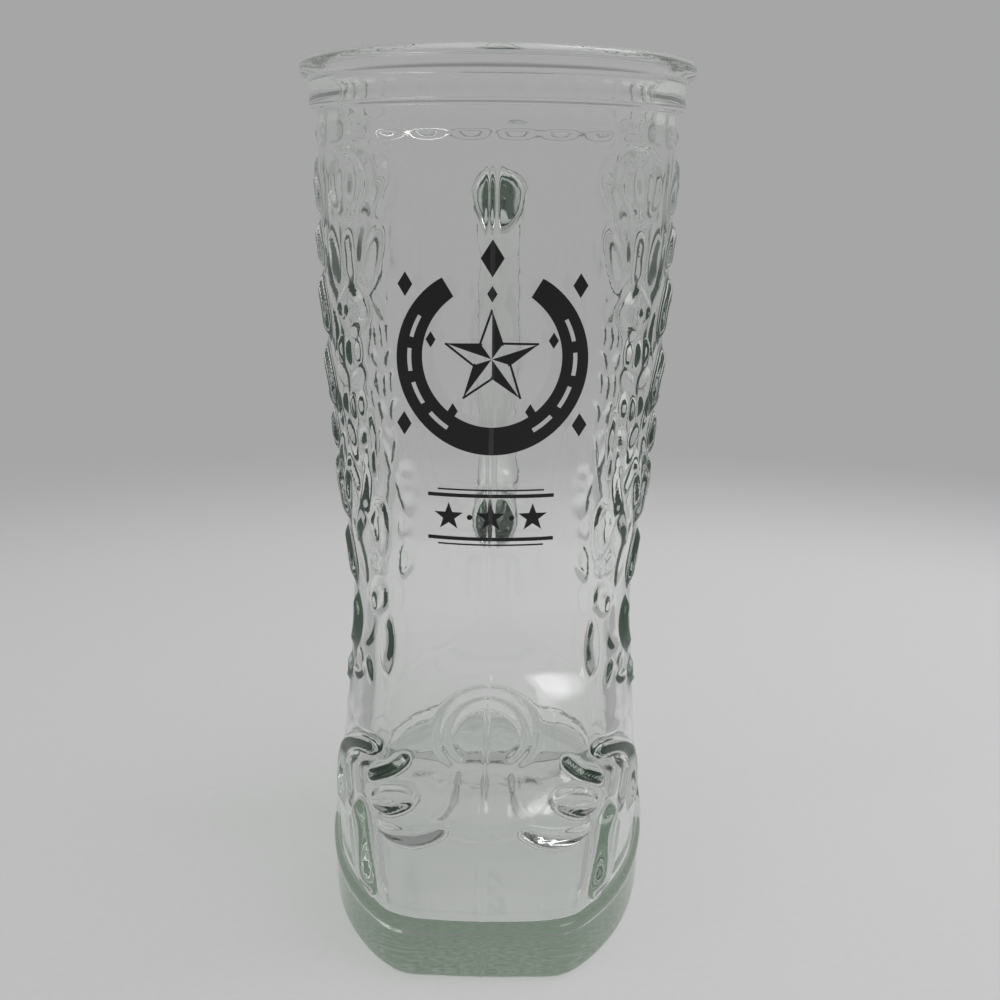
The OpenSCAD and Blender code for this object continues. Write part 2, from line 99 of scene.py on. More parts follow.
class BootFinish(bpy.types.PropertyGroup):
    """Colours and strengths of the glass and of the print."""
    tint: FloatVectorProperty(name="Glass tint", description="Colour that thick glass turns to",
                              subtype="COLOR", size=3, default=linear("8cc290")[:3])
    tint_density: FloatProperty(name="Tint density", description="Absorption for each metre",
                                default=5.0, min=0.0)
    print_colour: FloatVectorProperty(name="Print colour", description="Colour of the enamel",
                                      subtype="COLOR", size=3, default=linear("080809")[:3])


# Curves

def mix(a, b, t):
    """The value at the share t of the way from a to b."""
    return a + (b - a) * t


def ease(t):
    """The easing curve t * t * (3 - 2 * t), with t held between 0 and 1."""
    t = np.clip(t, 0, 1)
    return t * t * (3 - 2 * t)


def signed_power(x, n):
    """The size of x raised to n, with the sign of x."""
    return np.sign(x) * np.abs(x) ** n


def bezier(points, t):
    """The cubic Bezier curve of four points at the shares t, one row for each share."""
    p = [np.asarray(q, float) for q in points]
    t = np.asarray(t, float)[..., None]
    return ((1 - t) ** 3 * p[0] + 3 * (1 - t) ** 2 * t * p[1]
            + 3 * (1 - t) * t * t * p[2] + t ** 3 * p[3])


def flowing(points, steps=24):
    """A smooth line through points: each stretch between two of them is a cubic, and its slope
    at a point is half of the step from the point before to the point after."""
    p = np.asarray(points, float)
    before = np.vstack([2 * p[:1] - p[1:2], p, 2 * p[-1:] - p[-2:-1]])
    place = np.linspace(0, len(p) - 1, steps + 1)
    k = np.minimum(place.astype(int), len(p) - 2)
    t = (place - k)[:, None]
    a, b, c, d = before[k], before[k + 1], before[k + 2], before[k + 3]
    return 0.5 * (2 * b + (c - a) * t + (2 * a - 5 * b + 4 * c - d) * t ** 2
                  + (3 * b - a - 3 * c + d) * t ** 3)


class Boot:
    """The boot's surfaces in millimetres, from the sizes in the sidebar."""

    # Tops of the sole and of the welt, and how far both stand out from the foot
    sole_h = 8.6
    base_h = 10.4
    welt_out = 1.1
    sole_out = 0.6
    # Half of the foot's width, and the place of the toe box's top
    foot_half = 31.6
    toe_top_y = 62.0
    toe_top_h = 32.0
    # Powers of the rings' superellipse at the toe. Elsewhere they are 2, as a circle's are.
    side_power = 3.0
    end_power = 2.5
    # The toe's corners: how far they are pushed ahead, their place and their width
    corner_out = 1.9
    corner_x = 15.0
    corner_w = 5.0
    # The rim's bead, the band under it and the opening of the mouth
    rim_h = 4.4
    collar_h = 6.2
    collar_out = 1.7
    rim_out = 2.1
    mouth_flare = 2.8
    # The open arch: its height, and the start and length of its slopes
    arch_h = 5.0
    arch_front = 25.0
    front_run = 9.0
    arch_rear = 2.4
    rear_run = 1.5
    # From the neck down to the stitches, and the radius of the handle's bends
    stitch_drop = 4.7
    bend = 15.0

    def __init__(self, sizes):
        self.glass_h = sizes.glass_height / MM
        self.reach = sizes.toe_reach / MM - self.welt_out
        self.neck_r = sizes.neck_radius / MM
        self.ankle_r = sizes.ankle_radius / MM
        self.ankle_h = sizes.ankle_height / MM
        self.wall = sizes.wall / MM
        self.foot_wall = sizes.foot_wall / MM
        self.floor_h = sizes.floor_height / MM
        self.relief = sizes.relief / MM
        self.neck_h = self.glass_h - self.rim_h - self.collar_h
        low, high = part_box("handle_grip")
        self.grip_y = (low.y + high.y) / 2 / MM - axis_y()
        self.grip_top = high.z / MM
        self.grip_low = low.z / MM
        self.grip_half_t = (high.y - low.y) / 2 / MM
        self.grip_half_w = (high.x - low.x) / 2 / MM

    def shaft_r(self, z):
        """Outer radius at height z. It stays narrow for 4 % of the way up from the ankle, and
        from there to the neck it follows the easing curve of the share raised to 0.6."""
        share = (z - self.ankle_h) / (self.neck_h - self.ankle_h)
        share = np.clip((share - 0.04) / 0.96, 0, 1)
        return mix(self.ankle_r, self.neck_r, ease(share ** 0.6))

    def on_shaft(self, angle, up):
        """Points on the shaft from angles in degrees from the front, and shares of the way up
        from the ankle to the stitches."""
        a = np.radians(np.asarray(angle, float))
        z = mix(self.ankle_h, self.neck_h - self.stitch_drop, np.asarray(up, float))
        r = self.shaft_r(z)
        return np.stack([r * np.sin(a), -r * np.cos(a), z + 0 * a], -1)

    def front_profile(self, inset, thin, low, v):
        """The front's profile as y and z. Up to v = 0.5 it is a Bezier curve from the toe over
        the toe box, and from there another one up the instep to the ankle. The curves' inner
        points lie at shares of the runs and rises between their ends."""
        tip = self.reach - inset
        top = self.toe_top_h - inset
        toe = [(-tip, low), (-tip, mix(low, top, 0.62)),
               (-mix(self.toe_top_y, tip, 0.75), top - (self.toe_top_h - self.base_h) / 8),
               (-self.toe_top_y, top)]
        r = self.ankle_r - thin
        run = self.toe_top_y - r
        rise = self.ankle_h - top
        instep = [(-self.toe_top_y, top), (-self.toe_top_y + run * 0.4, top + rise * 0.16),
                  (-r, self.ankle_h - rise / 2), (-r, self.ankle_h)]
        v = np.asarray(v, float)
        return np.where((v < 0.5)[..., None], bezier(toe, np.clip(2 * v, 0, 1)),
                        bezier(instep, np.clip(2 * v - 1, 0, 1)))

    def foot(self, inset, thin, low, a, v):
        """Points on the foot. Each ring lies in a plane through the front profile and the
        heel, and its outline is a superellipse: squarer at the toe, round at the ankle. Low
        down, the toe's corners are pushed ahead by corner_out times the bell curve
        exp(-((|x| - corner_x) / corner_w)^2)."""
        a, v = np.broadcast_arrays(np.asarray(a, float), np.asarray(v, float))
        front = self.front_profile(inset, thin, low, v)
        half = mix(self.foot_half - inset, self.ankle_r - thin, v)
        back = np.stack([half, mix(low, self.ankle_h, v)], -1)
        along = (-front[..., 0] / (back[..., 0] - front[..., 0]))[..., None]
        middle = front + (back - front) * along
        ahead = np.cos(a) > 0
        side_power = np.where(ahead, mix(self.side_power, 2, v), 2)
        end_power = np.where(ahead, mix(self.end_power, 2, v), 2)
        x = half * signed_power(np.sin(a), 2 / side_power)
        share = (np.abs(np.cos(a)) ** (2 / end_power))[..., None]
        end = np.where(ahead[..., None], front, back)
        centre = middle + (end - middle) * share
        bell = np.exp(-((np.abs(x) - self.corner_x) / self.corner_w) ** 2)
        centre[..., 0] -= np.where(ahead, self.corner_out * np.clip(1 - 2 * v, 0, 1) * bell, 0)
        return np.concatenate([x[..., None], centre], -1)

    def outer_foot(self, a, v):
        """Points on the foot's outer face, which starts on the welt."""
        return self.foot(0, 0, self.base_h, a, v)

    def on_vamp(self, s, v):
        """Points on the foot, s being the share of the way from the middle to the side."""
        s, v = np.asarray(s, float), np.asarray(v, float)
        angle = np.arcsin(np.minimum(1, np.abs(s)) ** (mix(self.side_power, 2, v) / 2))
        return self.outer_foot(np.sign(s) * angle, v)

    def let_out(self, ring, out):
        """The foot's lowest ring let out by a distance."""
        reach = np.where(ring[..., 1] < 0, self.reach, self.foot_half)
        return np.stack([ring[..., 0] * (self.foot_half + out) / self.foot_half,
                         ring[..., 1] * (reach + out) / reach], -1)

    def arch(self, y):
        """Height of the open arch under the waist: it slopes up behind the ball of the foot
        and drops steeply at the heel's front face."""
        front = ease((y + self.arch_front) / self.front_run)
        rear = ease((self.arch_rear - y) / self.rear_run)
        return self.arch_h * front * rear


# Tooling: each stroke is a spine on the surface with a half width and a height at every point

def stroke(skin, line, half_w, lift, form="cord", ends="blunt"):
    """A raised stroke. skin turns the line's places into points, form is its cross-section and
    ends says how its width runs: even, or as the sine of the share of a half turn raised to 0.15
    for blunt ends and to 0.7 for pointed ones, and nowhere under a tenth."""
    line = np.asarray(line, float)
    share = np.linspace(0, 1, len(line))
    width = {"blunt": np.clip(np.sin(np.pi * share), 0, 1) ** 0.15,
             "even": np.ones(len(line)),
             "pointed": np.clip(np.sin(np.pi * share), 0, 1) ** 0.7}[ends]
    return skin(line[:, 0], line[:, 1]), half_w * np.maximum(width, 0.1), lift, form


def cross_section(q, form):
    """Height of a stroke over its foot, as a share, q being the share of the half width from
    its spine. A cord is the arc 1 - q^2 raised to 0.8, and a leaf has a vein along its middle
    besides, a bell curve 0.28 deep and 0.2 wide."""
    arc = np.clip(1 - q * q, 0, 1) ** 0.8
    if form == "leaf":
        return arc * (1 - 0.28 * np.exp(-(q / 0.2) ** 2))
    return arc


def tooling_height(points, strokes):
    """Height of the tooling over each point, in millimetres. For each stroke, the nearest
    place on its spine gives the distance, divided by the half width there, and the
    cross-section gives the height, which sinks where the stroke is under 1 / 1.6 of its widest.
    The highest stroke counts."""
    flat = points.reshape(-1, 3)
    height = np.zeros(len(flat))
    for spine, half, lift, form in strokes:
        # Points well away from the stroke are left out
        margin = half.max() * 1.2
        near = np.all((flat > spine.min(0) - margin) & (flat < spine.max(0) + margin), axis=1)
        index = np.nonzero(near)[0]
        start, step = spine[:-1], np.diff(spine, axis=0)
        offset = flat[index][:, None] - start[None]
        t = np.clip((offset * step).sum(-1) / (step * step).sum(-1), 0, 1)
        gap = np.linalg.norm(offset - t[..., None] * step, axis=-1)
        width = half[:-1] + np.diff(half) * t
        share = gap / width
        best = np.argmin(share, axis=1)[:, None]
        q = np.take_along_axis(share, best, 1)[:, 0]
        w = np.take_along_axis(width, best, 1)[:, 0]
        top = lift * np.minimum(1, 1.6 * w / half.max())
        height[index] = np.maximum(height[index], top * cross_section(q, form))
    return height.reshape(points.shape[:-1])


def oval(centre, size, tilt=0.0, steps=28, pointed=0.0):
    """A closed oval line round a centre, from half sizes and a tilt in degrees. It narrows
    towards its top by the share pointed, and towards its foot where that is negative."""
    t = np.linspace(0, 2 * np.pi, steps + 1)
    x = size[0] * np.sin(t) * (1 - pointed * np.cos(t))
    y = size[1] * np.cos(t)
    c, s = np.cos(np.radians(tilt)), np.sin(np.radians(tilt))
    return np.stack([centre[0] + x * c + y * s, centre[1] - x * s + y * c], -1)


# The tooled leaves of the solids, for the right front quarter. Places are [angle from the front,
# share of the way up to the stitches], and then come the bow in degrees and half of the width.
LEAVES = [
    # Petals beside and under the tulip
    ((34, 0.92), (45, 0.69), 5, 1.2), ((37, 0.80), (43, 0.69), 1, 1.7),
    ((52, 0.80), (51, 0.69), 0, 1.8), ((64, 0.80), (60, 0.69), -1, 1.9),
    # Two blocks of three ribs, with a chevron under each
    ((50, 0.575), (50, 0.525), 0, 1.2), ((55, 0.575), (55, 0.515), 0, 1.2),
    ((60, 0.575), (60, 0.525), 0, 1.2), ((47, 0.51), (54.5, 0.475), 0, 1.2),
    ((65, 0.51), (57.5, 0.475), 0, 1.2), ((50, 0.46), (50, 0.41), 0, 1.2),
    ((55, 0.455), (55, 0.40), 0, 1.2), ((60, 0.46), (60, 0.41), 0, 1.2),
    ((47, 0.39), (53, 0.345), 0, 1.2), ((61.5, 0.39), (55.5, 0.345), 0, 1.2),
    # Long leaves that slant down
    ((49, 0.32), (65, 0.13), -3, 1.6), ((60, 0.33), (70, 0.20), 1, 1.5),
    # Leaves one above another beside the middle of the side
    ((84, 0.92), (73, 0.83), -2, 2.5), ((85, 0.81), (74, 0.72), -2, 2.5),
    ((85, 0.70), (72, 0.57), -2, 3.0), ((85, 0.55), (71, 0.41), -2, 3.0),
    ((85, 0.40), (74, 0.33), 0, 2.2), ((85, 0.31), (73, 0.165), -2, 3.0),
    ((83, 0.145), (74, 0.02), 0, 2.5),
]


def shaft_tooling(boot):
    """The tooled panels on both sides of the shaft, drawn once for the right front quarter and
    repeated by mirroring, and the row of stitches."""
    lift = boot.relief
    quarter = []

    def cords(lines, half_w, share=0.6, ends="blunt"):
        """Round strokes along smooth lines."""
        quarter.extend((flowing(line), half_w, lift * share, "cord", ends) for line in lines)

    # Lengths in millimetres of one degree round the shaft and of the whole way up it
    degree, way_up = 0.6, 96.7

    def ring(centre, size, half_w, share=0.6, tilt=0.0, pointed=0.0):
        """A round stroke along an oval whose half sizes are in millimetres."""
        line = oval((0, 0), size, tilt, pointed=pointed) / (degree, way_up) + centre
        quarter.append((line, half_w, lift * share, "cord", "even"))

    def leaf(start, stop, bow, half_w):
        """A leaf that bows by the sine of the share of a half turn. Wide leaves stand higher."""
        t = np.linspace(0, 1, 13)
        line = mix(np.array(start), np.array(stop), t[:, None])
        line[:, 0] += bow * np.sin(np.pi * t)
        return line, half_w, lift * mix(0.6, 1, half_w / 3), "leaf", "pointed"

    quarter.extend(leaf(*each) for each in LEAVES)
    # The tulip's outline, a second one inside it, the bud and a tendril beside them
    ring((50.5, 0.89), (6.2, 6.4), 1.1, 0.75, pointed=-0.12)
    ring((50.3, 0.89), (3.7, 4.4), 0.55, 0.4, pointed=-0.12)
    quarter.append(leaf((50.5, 0.86), (49, 0.93), 0, 1.9))
    cords([[(33, 0.945), (40, 0.90), (44, 0.84), (42.5, 0.76)]], 0.5, 0.3)
    # The lozenge: four sides, and a smaller one inside
    for share, half_w in ((1, 1.0), (0.45, 0.7)):
        line = np.array([(-7.4, 0), (0, 0.046), (7.4, 0), (0, -0.046), (-7.4, 0)]) * share
        corner = np.repeat(line + (52, 0.635), [1, 2, 2, 2, 1], axis=0)
        side = [mix(corner[k], corner[k + 1], np.linspace(0, 1, 9)[:, None]) for k in (0, 2, 4, 6)]
        quarter.extend((s, half_w, lift * 0.7, "cord", "even") for s in side)
    # Nested chevrons, and loops that cross the long leaves
    cords([[(48, 0.345), (54, 0.30), (60, 0.345)],
           [(46, 0.425), (45.4, 0.36), (47, 0.29)]], 0.6, 0.5)
    cords([[(63, 0.31), (57, 0.25), (51, 0.19), (48.5, 0.13)],
           [(67, 0.36), (75, 0.28), (77, 0.17)]], 0.9, 0.6)
    # A drop in double outline, a ring, and an almond in double outline
    ring((45.5, 0.17), (2.1, 5.3), 0.6, 0.55, pointed=-0.25)
    ring((45.7, 0.16), (0.9, 3.2), 0.45, 0.4, pointed=-0.25)
    ring((50, 0.088), (2.7, 1.2), 0.5, 0.5)
    ring((50, 0.012), (2.3, 2.9), 0.65, 0.6, tilt=-30)
    ring((50, 0.012), (1.0, 1.5), 0.4, 0.4, tilt=-30)
    # Tendrils between the leaves and the panel
    cords([[(70, 0.95), (67, 0.87), (69, 0.78), (66, 0.69)], [(66, 0.64), (63, 0.58), (67, 0.5)],
           [(68, 0.44), (65, 0.37)]], 0.7, 0.5)

    strokes = []
    for side in (-1, 1):
        for behind in (False, True):
            for line, half_w, rise, form, ends in quarter:
                angle = 180 - line[:, 0] if behind else line[:, 0]
                place = np.stack([side * angle, line[:, 1]], -1)
                strokes.append(stroke(boot.on_shaft, place, half_w, rise, form, ends))
        # Seven leaves one above another on the middle of the side
        for low in 0.02 + 0.14 * np.arange(7):
            line, half_w, rise, form, ends = leaf((side * 90, low), (side * 90, low + 0.1), 0, 2.2)
            strokes.append(stroke(boot.on_shaft, line, half_w, rise, form, ends))
    # The stitches round the neck: each is a straight stroke, 6.5 mm long with its round ends
    count, half_length, stitch_half_w, stitch_h = 28, 2.1, 1.15, 0.85
    half_turn = np.degrees(half_length / boot.neck_r)
    for k in range(count):
        middle_a = (k + 0.5) * 360 / count
        line = np.stack([np.linspace(middle_a - half_turn, middle_a + half_turn, 9), np.ones(9)], -1)
        strokes.append(stroke(boot.on_shaft, line, stitch_half_w, stitch_h, "cord", "even"))
    return strokes


def foot_tooling(boot):
    """The seams and scrolls on the foot and the medallion over the toe. Places are [share of the
    way to the side, share of the way up the profile], and then come half of the width and the
    height in millimetres."""
    strokes = []

    def add(line, half_w, lift, form="cord", ends="blunt", curve=True, sides=(-1, 1)):
        """A stroke along a line on each of the sides, drawn smooth where curve is true."""
        spine = flowing(line, 28) if curve else np.asarray(line, float)
        for side in sides:
            strokes.append(stroke(boot.on_vamp, spine * (side, 1), half_w, lift, form, ends))

    # The medallion: two arcs, one inside the other, open below
    t = np.radians(np.linspace(-145, 145, 41))
    for share in (1, 0.76):
        arch = np.stack([0.30 * share * np.sin(t), 0.61 + 0.15 * share * np.cos(t)], -1)
        add(arch, 0.6, 0.5, curve=False, sides=(1,))
    # The waist that flares to the toe seam
    even = np.linspace(0, 1, 25)
    add(bezier([(0.165, 0.49), (0.21, 0.42), (0.14, 0.37), (0.27, 0.285)], even), 0.8, 0.45,
        curve=False)
    # Crescents across the toe, and the fine line between them
    add(bezier([(0.19, 0.275), (0.30, 0.225), (0.42, 0.215), (0.64, 0.225)], even), 1.35, 2.6,
        ends="pointed", curve=False)
    add([(-0.2, 0.25), (0, 0.235), (0.2, 0.25)], 0.45, 0.3, sides=(1,))
    # The scroll that hooks over the side of the ball, with its blunt outer end
    add(bezier([(0.66, 0.48), (0.88, 0.50), (0.99, 0.30), (0.88, 0.15)], even), 1.9, 1.4,
        curve=False)
    add([(0.80, 0.40), (0.88, 0.30), (0.82, 0.22)], 0.9, 0.7)
    # The dark lobe inside it
    add(bezier([(0.68, 0.385), (0.62, 0.41), (0.55, 0.43), (0.50, 0.49)], even), 2.0, 1.5,
        curve=False)
    # The oval boss with its lip
    add(oval((0.535, 0.335), (0.14, 0.045), tilt=14), 0.6, 0.5, ends="even", curve=False)
    add([(0.40, 0.345), (0.53, 0.30), (0.66, 0.285)], 1.1, 1.5, ends="pointed")
    # The wedge down to the welt at the toe box's corner
    add([(0.76, 0.25), (0.71, 0.17), (0.67, 0.09), (0.62, 0.03)], 3.5, 2.7, "leaf", "pointed")
    add([(0.62, 0.27), (0.60, 0.17), (0.57, 0.08), (0.52, 0.02)], 0.6, 0.6)
    # Leaves that run up to the ankle, and smaller ones at their feet
    add([(0.68, 0.76), (0.69, 0.86), (0.70, 0.97)], 1.9, 1.3, "leaf", "pointed")
    add([(0.86, 0.72), (0.82, 0.76), (0.78, 0.70)], 0.9, 0.8, ends="pointed")
    add([(0.97, 0.76), (0.93, 0.88), (0.95, 0.99)], 2.2, 1.4, "leaf", "pointed")
    add([(0.99, 0.58), (0.96, 0.64), (0.98, 0.70)], 1.3, 1.0, "leaf", "pointed")
    return strokes


# Meshes

def to_object(name, points, faces, smooth=True):
    """A mesh object at the origin from points in millimetres round the shaft's axis. faces is a
    list of arrays, each with one face a row."""
    shape = (np.asarray(points, float) + (0, axis_y(), 0)) * MM
    corners = np.concatenate([f.reshape(-1) for f in faces]).astype(np.int32)
    counts = np.concatenate([np.full(len(f), f.shape[1]) for f in faces])
    starts = np.concatenate([[0], np.cumsum(counts)[:-1]]).astype(np.int32)
    mesh = bpy.data.meshes.new(name)
    mesh.vertices.add(len(shape))
    mesh.vertices.foreach_set("co", shape.astype(np.float32).ravel())
    mesh.loops.add(len(corners))
    mesh.loops.foreach_set("vertex_index", corners)
    mesh.polygons.add(len(starts))
    mesh.polygons.foreach_set("loop_start", starts)
    mesh.polygons.foreach_set("use_smooth", np.full(len(starts), smooth))
    mesh.update(calc_edges=True)
    mesh.validate()
    obj = bpy.data.objects.new(name, mesh)
    bpy.context.scene.collection.objects.link(obj)
    return obj


def axis_y():
    """The place of the shaft's axis in the frame, in millimetres: the middle of the rim."""
    low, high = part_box("rim_bead")
    return (low.y + high.y) / 2 / MM


def spread(cell_at, total, count):
    """count + 1 shares from 0 to 1 along a length. cell_at gives the size of a cell wanted at a
    distance, and the cells keep that ratio."""
    place = np.linspace(0, total, 4001)
    number = np.concatenate([[0], np.cumsum(np.diff(place) / cell_at(place[1:]))])
    return np.interp(np.linspace(0, number[-1], count + 1), number, place) / total


def half_ring_angles(point_at, shares):
    """Angles from 0 to pi at which a half ring reaches each share of its length. point_at turns
    an array of angles into points, and the length is summed over many short steps."""
    dense = np.pi * np.linspace(0, 1, 1601) ** 1.5
    points = point_at(dense)
    steps = np.linalg.norm(np.diff(points, axis=0), axis=1)
    along = np.concatenate([[0], np.cumsum(steps)])
    return np.interp(shares * along[-1], along, dense)


def full_ring(half):
    """The angles of a whole ring from those of its right half, starting at the front."""
    return np.concatenate([half, -half[-2:0:-1]])


def quads(rows):
    """Faces between rings of vertex numbers, each row a ring."""
    a, b = rows[:-1], rows[1:]
    return np.stack([a, np.roll(a, -1, 1), np.roll(b, -1, 1), b], -1).reshape(-1, 4)


class Surface:
    """Points and faces that grow ring by ring."""

    def __init__(self):
        self.points = []
        self.faces = []
        self.count = 0

    def add(self, points):
        """Adds a grid of points and returns their numbers in the same layout."""
        flat = points.reshape(-1, 3)
        numbers = np.arange(self.count, self.count + len(flat)).reshape(points.shape[:-1])
        self.points.append(flat)
        self.count += len(flat)
        return numbers

    def thin_out(self, fine, coarse):
        """Faces between a ring and one with a third of its points."""
        f = np.append(fine, fine[0])
        c = np.append(coarse, coarse[0])
        k = np.arange(len(coarse))
        self.faces.append(np.stack([f[3 * k], f[3 * k + 1], c[k]], -1))
        self.faces.append(np.stack([f[3 * k + 1], f[3 * k + 2], c[k + 1], c[k]], -1))
        self.faces.append(np.stack([f[3 * k + 2], f[3 * k + 3], c[k + 1]], -1))

    def cap(self, ring, height_at, cells, inward):
        """Closes a ring that is the same on both sides of the middle. Each point is joined
        straight across to its mirror point, and height_at gives the height over the plan.
        inward is true where the ring's inside is seen from below."""
        half = len(ring) // 2
        right, left = ring[1:half], ring[:half:-1]
        all_points = np.concatenate(self.points)
        a, b = all_points[right], all_points[left]
        t = np.linspace(0, 1, cells + 1)[1:-1][None, :, None]
        across = mix(a[:, None], b[:, None], t)
        across[..., 2] = height_at(across)
        inner = self.add(across)
        rows = np.concatenate([right[:, None], inner, left[:, None]], 1)
        body = np.stack([rows[:-1, :-1], rows[:-1, 1:], rows[1:, 1:], rows[1:, :-1]], -1).reshape(-1, 4)
        front = np.stack([np.full(cells, ring[0]), rows[0, 1:], rows[0, :-1]], -1)
        back = np.stack([np.full(cells, ring[half]), rows[-1, :-1], rows[-1, 1:]], -1)
        for f in (body, front, back):
            self.faces.append(f[:, ::-1] if inward else f)


# Columns on each half of a ring, a multiple of three, and rings over the foot and the shaft
COLUMNS = 147
FOOT_RINGS = 106
SHAFT_RINGS = 122


def ring_shares(boot):
    """Shares of a half ring at which columns stand: close together over the toe and beside the
    heel's front face on the foot, and over the side panels on the shaft, with fine columns at
    the mould line in front. x is the distance in millimetres from the front."""
    def line(x):
        """Share of its width that a column has near the mould line."""
        return 1 - 0.45 * np.exp(-(x / 1.2) ** 2)

    def foot_cell(x):
        """Width of a column on the foot."""
        toe = mix(0.52, 1.0, ease((x - 34) / 10))
        heel = mix(1.0, 2.6, ease((x - 122) / 14))
        return toe * heel * line(x) * (1 - 0.35 * np.exp(-((x - 112) / 5) ** 2))

    def shaft_cell(x):
        """Width of a column on the shaft."""
        panel = ease((x - 20) / 4) * ease((86 - x) / 6)
        return mix(1.15, 0.58, panel) * line(x)

    foot_length = 160.0
    shaft_length = np.pi * boot.neck_r * 0.95
    return spread(foot_cell, foot_length, COLUMNS), spread(shaft_cell, shaft_length, COLUMNS)


def outer_rings(boot):
    """The rings of the outer face from the table to the top of the rim, and the numbers of the
    rings at which the foot, the shaft and the band begin."""
    foot_shares, shaft_shares = ring_shares(boot)
    # Foot: the columns move from the foot's spacing to the shaft's between v = 0.6 and the ankle
    v = np.linspace(0, 1, FOOT_RINGS + 1)
    foot = []
    for level in v:
        shares = mix(foot_shares, shaft_shares, ease((level - 0.6) / 0.4))
        angles = half_ring_angles(lambda a: boot.outer_foot(a, level), shares)
        foot.append(boot.outer_foot(full_ring(angles), level))
    foot = np.array(foot)
    lowest = foot[0].copy()
    # A small fillet where the foot stands on the welt, over its lowest rings
    plan = foot[:6, :, :2]
    fillet = 0.45 * np.exp((boot.base_h - foot[:6, :, 2:]) / 0.6)
    plan *= 1 + fillet / np.linalg.norm(plan, axis=-1, keepdims=True)
    # Sole: a rounded bottom edge, a straight side that follows the arch, and the welt's underside
    turn = np.radians(np.linspace(0, 90, 6))
    edge_r = 2
    sole = [(boot.sole_out - edge_r + edge_r * np.sin(q), edge_r - edge_r * np.cos(q)) for q in turn]
    sole += [(boot.sole_out, z) for z in (3.6, 5.2, 6.8, 7.7)]
    sole += [(0.64, 8.2), (0.76, boot.sole_h)]
    side = []
    for out, z in sole:
        plan = boot.let_out(lowest, out)
        roof = boot.arch(plan[:, 1])
        side.append(np.column_stack([plan, roof + (boot.sole_h - roof) * z / boot.sole_h]))
    # The welt's round edge, as [out from the foot, height]
    welt = [(0.93, 8.9), (1.06, 9.25), (boot.welt_out, 9.6), (1.05, 9.9), (0.92, 10.15), (0.7, 10.32)]
    for out, z in welt:
        side.append(np.column_stack([boot.let_out(lowest, out), np.full(len(lowest), z)]))
    # Shaft
    angles = full_ring(shaft_shares * np.pi)
    heights = mix(boot.ankle_h, boot.neck_h - 0.5, np.linspace(0, 1, SHAFT_RINGS + 1)[1:])
    shaft = turned(np.stack([boot.shaft_r(heights), heights], -1), angles)
    # Band and rim, turned round the axis
    band_r = boot.neck_r + boot.collar_out
    bead_r = boot.rim_h / 2
    bead_centre = band_r + boot.rim_out - bead_r
    bead_h = boot.glass_h - bead_r
    edge = [(boot.neck_r + 0.12, boot.neck_h - 0.2), (boot.neck_r + 0.5, boot.neck_h),
            (band_r - 0.5, boot.neck_h + 0.12), (band_r - 0.12, boot.neck_h + 0.4),
            (band_r, boot.neck_h + 0.9), (band_r, boot.neck_h + 3), (band_r, boot.neck_h + 5.2),
            (band_r - 0.08, boot.glass_h - boot.rim_h - 0.15)]
    turn = np.radians(np.linspace(-76, 90, 12))
    edge += [(bead_centre + bead_r * np.cos(q), bead_h + bead_r * np.sin(q)) for q in turn]
    rings = np.concatenate([np.array(side), foot, shaft, turned(edge, angles)])
    return rings, len(side), len(side) + len(foot), len(side) + len(foot) + len(shaft)


def turned(profile, angles):
    """Rings round the axis from a profile of [radius, height]: x is r sin a, and y is -r cos a."""
    r, z = np.array(profile).T[..., None]
    return np.stack([r * np.sin(angles), -r * np.cos(angles), z + 0 * angles], -1)


def inner_rings(boot, angles):
    """The rings of the inner face from the rim down to the edge of the floor. The shaft's inside
    follows its outside, the foot's is the foot's own shape set in, and the floor's edge is an
    elliptic quarter turn."""
    bead_r = boot.rim_h / 2
    mouth_r = boot.neck_r - boot.wall + boot.mouth_flare
    half_width = boot.neck_r + boot.collar_out + boot.rim_out - bead_r - mouth_r
    turn = np.radians(np.linspace(110, 180, 5))
    edge = [(mouth_r + half_width * (1 + np.cos(q)), boot.glass_h - bead_r * (1 - np.sin(q)))
            for q in turn]
    low = boot.neck_r - boot.wall
    share = np.linspace(0, 1, 9)[1:]
    top = boot.glass_h - bead_r - 1
    edge += [(mix(mouth_r, low, ease(s)), mix(top, boot.neck_h - 3, s)) for s in share]
    heights = np.linspace(boot.neck_h - 5, boot.ankle_h, 30)
    edge += [(boot.shaft_r(z) - boot.wall, z) for z in heights]
    # The wall ends at this share of the way up the foot, and there the floor's edge begins. It
    # moves in by a fiftieth of the way to the floor's middle.
    wall_end, floor_middle, inwards = 0.008, np.array([0, -20.0]), 0.02
    v = np.linspace(1, wall_end, 40)[1:, None]
    lower = boot.foot(boot.foot_wall, boot.wall, boot.floor_h, angles[None], v)
    ring = lower[-1]
    q = np.radians(np.linspace(0, 90, 7))[1:, None, None]
    plan = ring[None, :, :2] + (floor_middle - ring[:, :2])[None] * inwards * (1 - np.cos(q))
    z = boot.floor_h + (ring[:, 2] - boot.floor_h)[None, :, None] * (1 - np.sin(q))
    return np.concatenate([turned(edge, angles), lower, np.concatenate([plan, z], -1)])


def raise_tooling(rings, height):
    """Moves points out along the surface's normal, which is the cross product of the steps to
    the next column and to the next ring."""
    across = np.roll(rings, -1, 1) - np.roll(rings, 1, 1)
    up = np.gradient(rings, axis=0)
    normal = np.cross(across, up)
    normal /= np.linalg.norm(normal, axis=-1, keepdims=True)
    return rings + normal * height[..., None]


